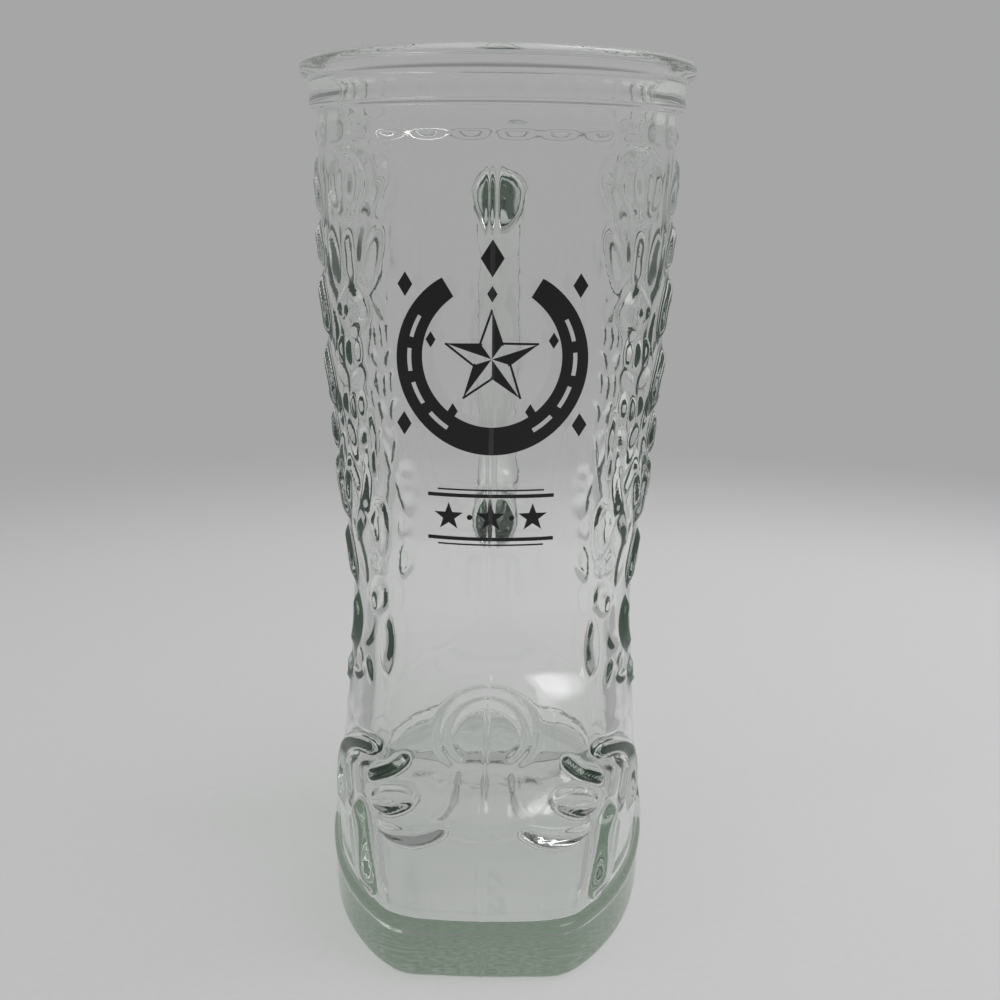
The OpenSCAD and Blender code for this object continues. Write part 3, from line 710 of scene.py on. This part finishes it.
def handle_path(boot, upper_z, s, lengths):
    """The middle line of the bar at the distances s from the shaft's face at the upper root:
    a straight arm, a quarter circle, the grip, another quarter circle and the lower arm."""
    ends = np.concatenate([[0], np.cumsum(lengths)])
    q1 = np.clip((s - ends[1]) / lengths[1], 0, 1) * np.pi / 2
    q2 = np.clip((s - ends[3]) / lengths[3], 0, 1) * np.pi / 2
    out = np.clip(s, 0, ends[1])
    down = np.clip(s - ends[2], 0, lengths[2])
    back = np.clip(s - ends[4], 0, lengths[4])
    y = boot.shaft_r(upper_z) + out + boot.bend * (np.sin(q1) - 1 + np.cos(q2)) - back
    z = upper_z - boot.bend * (1 - np.cos(q1) + np.sin(q2)) - down
    outward = np.stack([0 * s, np.sin(q1 + q2), np.cos(q1 + q2)], -1)
    return np.stack([0 * s, y, z], -1), outward


def add_handle(surface, numbers, rings, boot):
    """Opens a block of cells at each root and carries a tube from one to the other. Rings on the
    shaft lead from the block to the root's fillet, whose section is a quarter circle of radius f:
    at the turn q it stands f (1 - cos q) off the shaft and f (1 - sin q) outside the bar. The
    bar's own section is a superellipse of the power n."""
    # Of the upper and the lower root: height, fillet, half of the opened block's height, and half
    # of the bar's width and thickness at the shaft
    heights = (boot.grip_top + boot.bend, boot.grip_low - boot.bend)
    fillets = (2.2, 1.5)
    reaches = (11.5, 9.0)
    root_half_w = (5.2, 4.8)
    root_half_t = (6.6, 5.3)
    # Lengths over which the bar grows to its root and settles on the shaft, and its power
    flare_run, settle_run, n = 10, 8, 2.3
    seam_h, seam_w = 0.15, 0.45
    back = numbers.shape[1] // 2
    loops, bearings = [], []
    keep = np.ones((numbers.shape[0] - 1, numbers.shape[1]), bool)
    points = np.concatenate(surface.points)
    for z, up, reach in zip(heights, (1, -1), reaches):
        low, high = (int(np.argmin(np.abs(rings[:, back, 2] - z - k * reach))) for k in (-1, 1))
        # As many columns as give both blocks the same number of points round their edge
        around = 88
        columns = (around - 2 * (high - low)) // 4
        left, right = back - columns, back + columns
        keep[low:high, left:right] = False
        loop = np.concatenate([numbers[low, left:right], numbers[low:high, right],
                               numbers[high, right:left:-1], numbers[high:low:-1, left]])
        bearing = np.arctan2(up * (points[loop][:, 2] - z), points[loop][:, 0])
        order = np.argsort(bearing)
        loops.append(loop[order])
        bearings.append(bearing[order])
    a = numbers
    cells = np.stack([a[:-1], np.roll(a[:-1], -1, 1), np.roll(a[1:], -1, 1), a[1:]], -1)
    surface.faces.append(cells[keep])

    lengths = np.array([boot.grip_y - boot.bend - boot.shaft_r(heights[0]), boot.bend * np.pi / 2,
                        boot.grip_top - boot.grip_low, boot.bend * np.pi / 2,
                        boot.grip_y - boot.bend - boot.shaft_r(heights[1])])
    total = lengths.sum()
    turn = np.radians(np.linspace(0, 90, 7))
    gap = [f * (1 - np.cos(turn)) for f in fillets]
    s = np.concatenate([gap[0], np.linspace(fillets[0], total - fillets[1], 90)[1:-1],
                        total - gap[1][::-1]])
    middle, outward = handle_path(boot, heights[0], s, lengths)
    share = s / total
    near = np.minimum(s, total - s)
    first = share < 0.5
    fillet = np.where(first, *fillets)
    over = fillet * (1 - np.sin(np.arccos(np.clip(1 - near / fillet, 0, 1))))
    flare = np.clip(1 - near / flare_run, 0, 1) ** 2
    wide = np.where(first, *root_half_w)
    thick = np.where(first, *root_half_t)
    half_w = (boot.grip_half_w + (wide - boot.grip_half_w) * flare + over)[:, None]
    half_t = (boot.grip_half_t - seam_h + (thick - boot.grip_half_t) * flare + over)[:, None]
    bearing = mix(bearings[0][None], bearings[1][None], ease(share)[:, None])
    c, d = np.cos(bearing), np.sin(bearing)
    # The upper root is wider at its top, and the mould line runs round the bar
    half_w = half_w * (1 + 0.2 * d * (flare * first)[:, None])
    line = seam_h * np.exp(-(c * half_w / seam_w) ** 2) * (1 - flare[:, None])
    r = (np.abs(c / half_w) ** n + np.abs(d / half_t) ** n) ** (-1 / n) + line

    def face(x, z):
        """How far back the shaft's face lies."""
        return np.sqrt(boot.shaft_r(z) ** 2 - x ** 2)

    tube = middle[:, None] + (r * d)[..., None] * outward[:, None]
    tube[..., 0] += r * c
    settle = np.clip(1 - near / settle_run, 0, 1)[:, None] ** 2
    tube[..., 1] = mix(tube[..., 1], face(tube[..., 0], tube[..., 2]) + near[:, None], settle)
    # Rings on the shaft between each block and its root
    leads = []
    for loop, ring in zip(loops, (tube[0], tube[-1])):
        t = np.linspace(0, 1, 5)[1:-1, None, None]
        lead = mix(points[loop][None], ring[None], t)
        lead[..., 1] = face(lead[..., 0], lead[..., 2])
        leads.append(lead)
    grid = surface.add(np.concatenate([leads[0], tube, leads[1][::-1]]))
    surface.faces.append(quads(np.concatenate([loops[0][None], grid, loops[1][None]]))[:, ::-1])


def glass_body(boot):
    """The whole glass as one closed surface: the sole's underside, the outer face with its
    tooling, the rim, the inner face and floor, and the handle."""
    rings, foot_start, shaft_start, band_start = outer_rings(boot)
    height = np.zeros(rings.shape[:2])
    # Both kinds of tooling reach over the ankle, by so many rings
    foot_zone = slice(foot_start, shaft_start + 8)
    shaft_zone = slice(shaft_start - 34, band_start)
    height[foot_zone] = tooling_height(rings[foot_zone], foot_tooling(boot))
    height[shaft_zone] = np.maximum(height[shaft_zone],
                                    tooling_height(rings[shaft_zone], shaft_tooling(boot)))
    # Pressed glass has soft edges: each height is shared with its neighbours
    for axis in (0, 1):
        near = np.roll(height, 1, axis) + np.roll(height, -1, axis)
        height[foot_start:band_start] = (height / 2 + near / 4)[foot_start:band_start]
    # The mould line up the front, a bell curve across. It isn't on the sole's bottom edge or the
    # band, and fades out under the welt and over it.
    seam_h, seam_w = 0.28, 0.42
    line = np.where(rings[..., 1] < 0, seam_h * np.exp(-(rings[..., 0] / seam_w) ** 2), 0)
    line[band_start:] = 0
    line[:3] = 0
    line[:foot_start] *= np.clip((boot.sole_h - 0.4 - rings[:foot_start, :, 2]) / 2, 0, 1)
    line[foot_start:] *= np.clip((rings[foot_start:, :, 2] - boot.base_h - 0.3) / 2.5, 0, 1)
    shaped = raise_tooling(rings, np.maximum(height, line))
    shaped[..., 2] = np.maximum(shaped[..., 2], 0)

    surface = Surface()
    numbers = surface.add(shaped)
    surface.cap(numbers[0], lambda p: boot.arch(p[..., 1]), cells=20, inward=False)
    add_handle(surface, numbers, rings, boot)

    # The smooth inner face needs only every third column
    angles = np.arctan2(rings[-1, ::3, 0], -rings[-1, ::3, 1])
    inside = surface.add(inner_rings(boot, angles))
    surface.thin_out(numbers[-1], inside[0])
    surface.faces.append(quads(inside))
    surface.cap(inside[-1], lambda p: np.full(p.shape[:-1], boot.floor_h), cells=12, inward=True)
    return to_object("boot_glass", np.concatenate(surface.points), surface.faces)


# Print

def strip(line, half_w, closed=False, rows=3):
    """A band of even width along a flat line, as a grid of flat points."""
    line = np.asarray(line, float)
    ahead = np.roll(line, -1, 0) - np.roll(line, 1, 0) if closed else np.gradient(line, axis=0)
    ahead /= np.linalg.norm(ahead, axis=1, keepdims=True)
    side = np.stack([-ahead[:, 1], ahead[:, 0]], -1)
    across = np.linspace(-1, 1, rows)[:, None, None] * half_w
    return line[None] + across * side[None]


def outline(corners, steps):
    """Points along the straight edges between corners, round once and back to the first."""
    c = np.asarray(corners + corners[:1], float)
    place = np.linspace(0, len(corners), len(corners) * steps + 1)
    k = np.minimum(place.astype(int), len(corners) - 1)
    return c[k] + (c[k + 1] - c[k]) * (place - k)[:, None]


def filled(corners, centre=(0, 0), steps=4, rings=5):
    """A grid that fills an outline from its middle outwards."""
    edge = outline(corners, steps)
    q = np.linspace(0, 1, rings + 1)[:, None, None]
    centre = np.asarray(centre, float)
    return centre + q * (edge[None] - centre)


def star_corners(r, centre=(0, 0), inner=0.4):
    """The ten corners of a star with five tips at the radius r, its notches at a share of r."""
    turn = np.radians(36 * np.arange(10))
    size = np.where(np.arange(10) % 2 == 0, r, r * inner)
    return [tuple(p) for p in np.stack([centre[0] + size * np.sin(turn),
                                        centre[1] + size * np.cos(turn)], -1)]


def enamel_on_shaft(name, patches, boot, middle_h):
    """A print on the shaft's front. Each patch is a grid of flat points and the cells that are
    filled. It is laid on the shaft straight from the front, with an outer and an inner face
    and a wall wherever a filled cell meets an empty one."""
    surface = Surface()
    inner, outer = -0.06, 0.1
    for grid, mask in patches:
        layers = []
        for out in (outer, inner):
            z = middle_h + grid[..., 1]
            r = boot.shaft_r(z) + out
            y = -np.sqrt(r * r - grid[..., 0] ** 2)
            layers.append(surface.add(np.stack([grid[..., 0], y, z], -1)))
        top, base = layers
        cells = [np.stack([n[:-1, :-1], n[:-1, 1:], n[1:, 1:], n[1:, :-1]], -1) for n in layers]
        surface.faces.append(cells[0][mask])
        surface.faces.append(cells[1][mask][:, ::-1])
        padded = np.pad(mask, 1)
        across = padded[1:, 1:-1] ^ padded[:-1, 1:-1]
        along = padded[1:-1, 1:] ^ padded[1:-1, :-1]
        # A patch that goes once round a middle point has no wall there nor where it closes
        if np.allclose(grid[:, 0], grid[:, -1]):
            across[0] = False
            along[:, [0, -1]] = False
        surface.faces.append(np.stack([top[:, :-1], top[:, 1:], base[:, 1:], base[:, :-1]], -1)[across])
        surface.faces.append(np.stack([top[:-1], top[1:], base[1:], base[:-1]], -1)[along])
    obj = to_object(name, np.concatenate(surface.points), surface.faces, smooth=False)
    mesh = bmesh.new()
    mesh.from_mesh(obj.data)
    bmesh.ops.remove_doubles(mesh, verts=mesh.verts, dist=1e-6)
    bmesh.ops.recalc_face_normals(mesh, faces=mesh.faces)
    mesh.to_mesh(obj.data)
    mesh.free()
    return obj


def whole(grid):
    """A patch with all of its cells filled."""
    return grid, np.ones((grid.shape[0] - 1, grid.shape[1] - 1), bool)


def horseshoe():
    """The iron is a band round an arc that is open at the top. Its rings run from the inner to
    the outer edge, and the cells of the crease are left out between the nails' bars."""
    cells = 148
    turn = np.radians(np.linspace(32, 328, cells + 1))
    share = np.linspace(0, 1, cells + 1)
    q = np.array([0, 0.2, 0.42, 0.58, 0.8, 1.0])
    # The heels of the iron are narrower than its toe
    width = mix(4.2, 5.6, np.sin(np.pi * share) ** 0.6)
    middle_r = 16.3
    r = middle_r + (q[:, None] - 0.5) * width[None]
    grid = np.stack([r * np.sin(turn), r * np.cos(turn)], -1)
    # A bar stands in every twelfth cell from the toe, and the crease stops short of both ends
    mask = np.ones((len(q) - 1, cells), bool)
    off_toe = np.abs(np.arange(cells) - cells // 2)
    mask[2] = (off_toe <= 12) | (off_toe >= 62) | (off_toe % 12 <= 3)
    return grid, mask


def emblem(boot):
    """A horseshoe round a five-pointed star whose points are half filled, with diamonds."""
    patches = [horseshoe()]
    corners = star_corners(9.6)
    for k in range(5):
        tip = corners[2 * k]
        # The filled halves stop a hair short of each other
        hair = 0.012
        half = np.array([(0, 0), tip, corners[2 * k + 1]])
        middle = half.mean(0)
        edge = [tuple(c) for c in mix(half, middle, hair)]
        patches.append(whole(filled(edge, middle, steps=6, rings=3)))
        patches.append(whole(strip(outline([(0, 0), tip, corners[2 * k - 1]], 8)[8:-7], 0.22)))
    # Diamonds: place, half of the width and half of the height. Off the middle they are in pairs.
    for off, y, w, h in ((0, 19.4, 2.3, 3.6), (17.1, 14.2, 1.5, 2.4), (17.4, -13.4, 1.5, 2.4),
                         (0, 12.6, 1.0, 1.6), (12, 3.6, 1.0, 1.6), (7.6, -10.4, 1.0, 1.6)):
        for x in (-off, off) if off else (0,):
            corners = [(x, y + h), (x + w, y), (x, y - h), (x - w, y)]
            patches.append(whole(filled(corners, (x, y), 4, 4)))
    # From the horseshoe's middle up to the print's top, as the solids have it
    top = 22.6
    middle_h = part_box("printed_emblem")[1].z / MM - top
    return enamel_on_shaft("enamel_emblem", patches, boot, middle_h)


def star_band(boot):
    """Three small stars between thin bars, with a dot on each side of the middle one."""
    patches = []
    star_r, dot_r, pitch = 3, 0.55, 8.4
    for k in (-1, 0, 1):
        centre = (k * pitch, 0)
        patches.append(whole(filled(star_corners(star_r, centre), centre, 3, 4)))
    for k in (-1, 1):
        x = k * pitch / 2
        dot = [(x + dot_r * np.cos(q), dot_r * np.sin(q)) for q in np.radians(np.arange(0, 360, 30))]
        patches.append(whole(filled(dot, (x, 0), 1, 2)))
        # Bars: height over the middle, half of the width and half of the length
        for y, half_w, reach in ((4.5, 0.37, 12.6), (5.7, 0.16, 10.6)):
            line = np.stack([np.linspace(-reach, reach, 33), np.full(33, k * y)], -1)
            patches.append(whole(strip(line, half_w)))
    low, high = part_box("printed_band")
    return enamel_on_shaft("enamel_band", patches, boot, (low.z + high.z) / 2 / MM)


# Materials

def node(tree, kind, settings=None, **inputs):
    """Adds a node. settings holds attributes, and inputs by name or number. An input that is
    another node's output is linked, and any other one is set."""
    n = tree.nodes.new(kind)
    for key, value in {**(settings or {}), **inputs}.items():
        if isinstance(key, str) and key in n.bl_rna.properties:
            setattr(n, key, value)
        elif isinstance(value, bpy.types.NodeSocket):
            tree.links.new(value, n.inputs[key])
        else:
            n.inputs[key].default_value = value
    return n


def noise(tree, place, spacing, detail):
    """Noise between 0 and 1 whose swells lie about a spacing apart, in metres."""
    return node(tree, "ShaderNodeTexNoise", {"Scale": 1 / spacing, "Detail": detail},
                Vector=place).outputs["Fac"]


def ramp(tree, value, start, stop, low=0.0, high=1.0, kind="LINEAR"):
    """A value carried over from the span between start and stop to that between low and high."""
    return node(tree, "ShaderNodeMapRange",
                {"interpolation_type": kind, "From Min": start, "From Max": stop, "To Min": low,
                 "To Max": high}, Value=value).outputs["Result"]


def compute(tree, operation, *values):
    """The outcome of an operation on numbers and on other nodes' outputs."""
    return node(tree, "ShaderNodeMath",
                {"operation": operation, **dict(enumerate(values))}).outputs["Value"]


def vector_length(tree, vector):
    """The length of a vector."""
    return node(tree, "ShaderNodeVectorMath", {"operation": "LENGTH", 0: vector}).outputs["Value"]


def blend(tree, share, first, second):
    """The first shader where the share is 0, and the second where it is 1."""
    return node(tree, "ShaderNodeMixShader", {0: share, 1: first, 2: second}).outputs["Shader"]


def blend_colours(tree, share, first, second):
    """The first colour where the share is 0, and the second where it is 1."""
    return node(tree, "ShaderNodeMix",
                {"data_type": "RGBA", 0: share, 6: first, 7: second}).outputs[2]


def see_through(tree, colour=(1, 1, 1, 1)):
    """A shader that lets a ray go straight on, dimmed by a colour."""
    return node(tree, "ShaderNodeBsdfTransparent", Color=colour).outputs["BSDF"]


def new_material(name):
    """A material and its node tree, which is empty."""
    material = bpy.data.materials.new(name)
    material.use_nodes = True
    material.node_tree.nodes.clear()
    return material, material.node_tree


def pressed_soda_lime_glass(finish):
    """Soda-lime glass pressed in an iron mould and fire polished: clear and glossy, with a slow ripple
    where the gob chilled on the mould, and green where it is thick. Rays that stay long inside leave
    through painted shade, and the sole is painted an even green grey shade."""
    material, tree = new_material("pressed_soda_lime_glass")
    place = node(tree, "ShaderNodeTexCoord").outputs["Object"]
    up = node(tree, "ShaderNodeSeparateXYZ", Vector=place).outputs["Z"]
    rays = node(tree, "ShaderNodeLightPath").outputs
    # Ripples about 9 mm apart, and finer orange peel about 2.5 mm apart. The sole lay flat in the
    # mould, and the ripples begin above it.
    ripples = compute(tree, "MULTIPLY_ADD", noise(tree, place, 0.0025, 2.0), 0.12,
                      noise(tree, place, 0.009, 1.0))
    bump = node(tree, "ShaderNodeBump", {"Distance": 0.00009}, Height=ripples,
                Strength=ramp(tree, up, 0.009, 0.016, 0.15, 1.0, "SMOOTHSTEP"))
    glass = node(tree, "ShaderNodeBsdfPrincipled",
                 {"Base Color": (1, 1, 1, 1), "Roughness": 0.0, "IOR": 1.52,
                  "Transmission Weight": 1.0}, Normal=bump.outputs["Normal"])
    # A ray that was mirrored three times inside stays in for long. It leaves there through painted
    # shade: a dim green that stands in for the light it would lose on its long way, paler towards the
    # rim and the sole, which light reaches from above and from the paper, and also paler where it went
    # through once before.
    deep = compute(tree, "GREATER_THAN", rays["Glossy Depth"], 2.5)
    off_middle = compute(tree, "ABSOLUTE", compute(tree, "SUBTRACT", up, 0.072))
    painted_pale_ends = ramp(tree, off_middle, 0.042, 0.068, kind="SMOOTHSTEP")
    # Painted shade: dark green at the middle of the height, pale towards the rim and the sole
    shade = blend_colours(tree, painted_pale_ends, linear("53655a"), grey(240))
    later = compute(tree, "GREATER_THAN", rays["Transparent Depth"], 0.5)
    painted_deep_shade = see_through(tree, blend_colours(tree, later, shade, grey(236)))
    inside = blend(tree, deep, glass.outputs["BSDF"], painted_deep_shade)
    # The underside has stipples about 1.3 mm apart and stands on the paper: light that comes down
    # inside the glass leaves through it, and the sole shows the paper in one even green grey, which is
    # painted shade for the dark under the sole.
    below = compute(tree, "LESS_THAN", up, 0.0003)
    within = compute(tree, "COMPARE", rays["Transmission Depth"], 1.0, 0.5)
    stipples = ramp(tree, noise(tree, place, 0.0013, 2.0), 0.3, 0.7)
    # Painted shade on the sole: the paper behind is dimmed to a set green grey, varied by the stipples
    stippled_painted_shade = see_through(tree, blend_colours(tree, stipples, linear("a2b1a2"), linear("c4d0c4")))
    inside = blend(tree, compute(tree, "MULTIPLY", below, within), inside, stippled_painted_shade)
    # Lamps shine through the glass, so that its shadow is as pale as the real one
    surface = blend(tree, rays["Is Shadow Ray"], inside, see_through(tree))
    tint = node(tree, "ShaderNodeVolumeAbsorption",
                {"Color": (*finish.tint, 1), "Density": finish.tint_density})
    node(tree, "ShaderNodeOutputMaterial", Surface=surface, Volume=tint.outputs["Volume"])
    return material


def fired_black_enamel(finish):
    """Ceramic enamel screened on and fired: nearly black with a soft gloss, its surface finely
    uneven, and a little greyer in clouds where the coat is thinner."""
    material, tree = new_material("fired_black_enamel")
    place = node(tree, "ShaderNodeTexCoord").outputs["Object"]
    # Grain of about 0.4 mm, which is as fine as shows, and clouds about 6 mm apart
    grain = noise(tree, place, 0.0004, 3.0)
    shade = node(tree, "ShaderNodeValToRGB", Fac=noise(tree, place, 0.006, 2.0))
    shade.color_ramp.elements[0].color = (*finish.print_colour, 1)
    shade.color_ramp.elements[1].color = linear("121214")
    bump = node(tree, "ShaderNodeBump", {"Strength": 0.4, "Distance": 0.00002}, Height=grain)
    coat = node(tree, "ShaderNodeBsdfPrincipled",
                {"Base Color": shade.outputs["Color"], "IOR": 1.45},
                Roughness=ramp(tree, grain, 0, 1, 0.28, 0.46), Normal=bump.outputs["Normal"])
    node(tree, "ShaderNodeOutputMaterial", Surface=coat.outputs["BSDF"])
    return material


def matt_paper():
    """Seamless photographic paper: matt and pale. Close to the object it is a plain surface that
    takes a shadow, and further off it shows one even grey, the same as behind it."""
    material, tree = new_material("matt_paper")
    place = node(tree, "ShaderNodeTexCoord").outputs["Object"]
    sweep = ramp(tree, vector_length(tree, place), 0.25, 0.56, kind="SMOOTHSTEP")
    fibre = ramp(tree, noise(tree, place, 0.002, 3.0), 0, 1, 0.48, 0.51)
    near = node(tree, "ShaderNodeBsdfDiffuse", Color=fibre).outputs["BSDF"]
    even = node(tree, "ShaderNodeEmission", {"Strength": 1.0}, Color=grey(166)).outputs["Emission"]
    plain = node(tree, "ShaderNodeBsdfDiffuse", Color=grey(166)).outputs["BSDF"]
    # The even grey is only looked at, and the plain one takes its place where light is gathered
    rays = node(tree, "ShaderNodeLightPath").outputs
    seen = compute(tree, "MAXIMUM", rays["Is Camera Ray"], rays["Is Glossy Ray"])
    seen = compute(tree, "MAXIMUM", seen, rays["Is Transmission Ray"])
    surface = blend(tree, sweep, near, blend(tree, seen, plain, even))
    node(tree, "ShaderNodeOutputMaterial", Surface=surface)
    return material


def soft_box_cloth():
    """The overhead soft box's white cloth, as the glass mirrors it: brightest in its middle and
    fading out towards an ellipse. It gives the paper no light, which the lamp does."""
    material, tree = new_material("soft_box_cloth")
    place = node(tree, "ShaderNodeTexCoord").outputs["Object"]
    half_w, half_l = 0.2, 0.42
    across = node(tree, "ShaderNodeVectorMath",
                  {"operation": "MULTIPLY", 0: place, 1: (1 / half_w, 1 / half_l, 0)})
    far = vector_length(tree, across.outputs["Vector"])
    glow = node(tree, "ShaderNodeEmission", Strength=ramp(tree, far, 1.0, 0.45, 0.0, 3.0, "SMOOTHSTEP"))
    clear = see_through(tree)
    lit = node(tree, "ShaderNodeAddShader", {0: glow.outputs["Emission"], 1: clear})
    rays = node(tree, "ShaderNodeLightPath")
    first = compute(tree, "LESS_THAN", rays.outputs["Diffuse Depth"], 0.5)
    surface = blend(tree, first, clear, lit.outputs["Shader"])
    node(tree, "ShaderNodeOutputMaterial", Surface=surface)
    material.cycles.emission_sampling = "NONE"
    return material


# Stage

def studio_world():
    """A plain grey surround near the horizon and a darker room above it."""
    world = bpy.data.worlds.new("studio")
    bpy.context.scene.world = world
    world.use_nodes = True
    tree = world.node_tree
    tree.nodes.clear()
    direction = node(tree, "ShaderNodeTexCoord").outputs["Generated"]
    height = node(tree, "ShaderNodeSeparateXYZ", Vector=direction).outputs["Z"]
    level = ramp(tree, height, 0.35, 0.62, 0.381, 0.22, "SMOOTHSTEP")
    light = node(tree, "ShaderNodeBackground", Color=level)
    node(tree, "ShaderNodeOutputWorld", Surface=light.outputs["Background"])


def facing(place, target):
    """The matrix of an object that stands at a place with its lower side to a target."""
    aim = (Vector(target) - Vector(place)).to_track_quat("-Z", "Y")
    return Matrix.Translation(place) @ aim.to_matrix().to_4x4()


def lamp(name, place, target, size, power):
    """A soft box: an area lamp that faces a target. Its light passes the glass as shadow rays,
    so it isn't counted once more where a ray from the paper finds it by way of the glass."""
    data = bpy.data.lights.new(name, "AREA")
    data.shape = "RECTANGLE"
    data.size, data.size_y = size
    data.energy = power
    obj = bpy.data.objects.new(name, data)
    obj.visible_glossy = False
    obj.visible_transmission = False
    obj.matrix_world = facing(place, target)
    bpy.context.scene.collection.objects.link(obj)


def soft_box_front(place, target, half_w, half_l):
    """The cloth of the overhead soft box: a flat rectangle that faces the glass."""
    corners = [(x, y, 0) for x, y in ((-half_w, -half_l), (half_w, -half_l), (half_w, half_l),
                                      (-half_w, half_l))]
    mesh = bpy.data.meshes.new("soft_box_front")
    mesh.from_pydata(corners, [], [(3, 2, 1, 0)])
    mesh.materials.append(soft_box_cloth())
    obj = bpy.data.objects.new("soft_box_front", mesh)
    obj.matrix_world = facing(place, target)
    obj.visible_camera = False
    obj.visible_diffuse = False
    obj.visible_shadow = False
    bpy.context.scene.collection.objects.link(obj)


def paper_floor():
    """A round sheet of paper. It lies a hair under the glass, which rests on it without being
    joined to it."""
    radius, corners, hair = 6.0, 64, 0.00005
    turn = np.linspace(0, 2 * np.pi, corners + 1)[:-1]
    rim = np.stack([np.cos(turn) * radius, np.sin(turn) * radius, 0 * turn - hair], -1) / MM
    floor = to_object("floor", rim, [np.arange(corners)[None]], smooth=False)
    floor.data.materials.append(matt_paper())


def camera():
    """The camera stands 336 mm ahead of the shaft's axis and 134 mm up, looks down by 10.75 degrees and
    leans by 0.6 degrees."""
    azimuth, pitch, roll = np.radians([0.9, 10.75, 0.6])
    distance, height = 0.336, 0.1343
    data = bpy.data.cameras.new("camera")
    data.sensor_width = 36.0
    data.lens = 1.55 * data.sensor_width
    data.shift_x = 0.00675
    data.clip_start = 0.01
    ahead = Vector((-np.sin(azimuth) * np.cos(pitch), np.cos(azimuth) * np.cos(pitch), -np.sin(pitch)))
    level = Vector((np.cos(azimuth), np.sin(azimuth), 0))
    up = level.cross(ahead)
    right = level * np.cos(roll) + up * np.sin(roll)
    up = up * np.cos(roll) - level * np.sin(roll)
    place = Vector((distance * np.sin(azimuth), axis_y() * MM - distance * np.cos(azimuth), height))
    obj = bpy.data.objects.new("camera", data)
    obj.matrix_world = Matrix.Translation(place) @ Matrix((right, up, -ahead)).transposed().to_4x4()
    bpy.context.scene.collection.objects.link(obj)
    bpy.context.scene.camera = obj


# Operators

class OBJECT_OT_boot_stage(bpy.types.Operator):
    """Make the floor, the surround, the soft boxes and the camera."""
    bl_idname = "object.boot_stage"
    bl_label = "Stage"

    def execute(self, context):
        paper_floor()
        studio_world()
        foot, shaft = (0, 0, 0.05), (0, 0, 0.08)
        lamp("overhead_soft_box", place=(0.5, 0.1, 1.1), target=foot, size=(0.9, 0.8), power=14.7)
        soft_box_front(place=(0.52, 0.28, 1.09), target=foot, half_w=0.25, half_l=0.45)
        lamp("side_soft_box", place=(-0.8, -0.5, 0.7), target=shaft, size=(0.3, 0.5), power=2.0)
        camera()
        context.scene.view_settings.view_transform = "Standard"
        return {"FINISHED"}


class OBJECT_OT_boot_glass(bpy.types.Operator):
    """Make the glass of the boot and its handle."""
    bl_idname = "object.boot_glass"
    bl_label = "Glass"

    def execute(self, context):
        glass = glass_body(Boot(context.scene.boot_sizes))
        glass.data.materials.append(pressed_soda_lime_glass(context.scene.boot_finish))
        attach(glass, "root")
        prints = ("printed_emblem", "printed_band")
        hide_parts(*[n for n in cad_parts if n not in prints])
        return {"FINISHED"}


class OBJECT_OT_boot_print(bpy.types.Operator):
    """Make the fired print on the front of the shaft."""
    bl_idname = "object.boot_print"
    bl_label = "Print"

    def execute(self, context):
        boot = Boot(context.scene.boot_sizes)
        enamel = fired_black_enamel(context.scene.boot_finish)
        for make, part in ((emblem, "printed_emblem"), (star_band, "printed_band")):
            obj = make(boot)
            obj.data.materials.append(enamel)
            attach(obj, "root")
            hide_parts(part)
        return {"FINISHED"}


class VIEW3D_PT_boot_mug(bpy.types.Panel):
    """Lists the steps that build the mug."""
    bl_label = "Boot mug"
    bl_space_type = "VIEW_3D"
    bl_region_type = "UI"
    bl_category = "Boot mug"

    def draw(self, context):
        for group in (context.scene.boot_sizes, context.scene.boot_finish):
            for key in group.__annotations__:
                self.layout.prop(group, key)
        for step in STEPS:
            self.layout.operator(step.bl_idname)


STEPS = (OBJECT_OT_boot_glass, OBJECT_OT_boot_print, OBJECT_OT_boot_stage)
CLASSES = (BootSizes, BootFinish, *STEPS, VIEW3D_PT_boot_mug)


def register():
    """Registers the classes and gives the scene its sizes and finish."""
    for c in CLASSES:
        bpy.utils.register_class(c)
    bpy.types.Scene.boot_sizes = PointerProperty(type=BootSizes)
    bpy.types.Scene.boot_finish = PointerProperty(type=BootFinish)


def unregister():
    """Takes back what register did."""
    del bpy.types.Scene.boot_sizes
    del bpy.types.Scene.boot_finish
    for c in reversed(CLASSES):
        bpy.utils.unregister_class(c)


def main():
    """Builds the mug and its stage."""
    register()
    bpy.ops.object.boot_glass()
    bpy.ops.object.boot_print()
    bpy.ops.object.boot_stage()


if __name__ == "__main__":
    main()
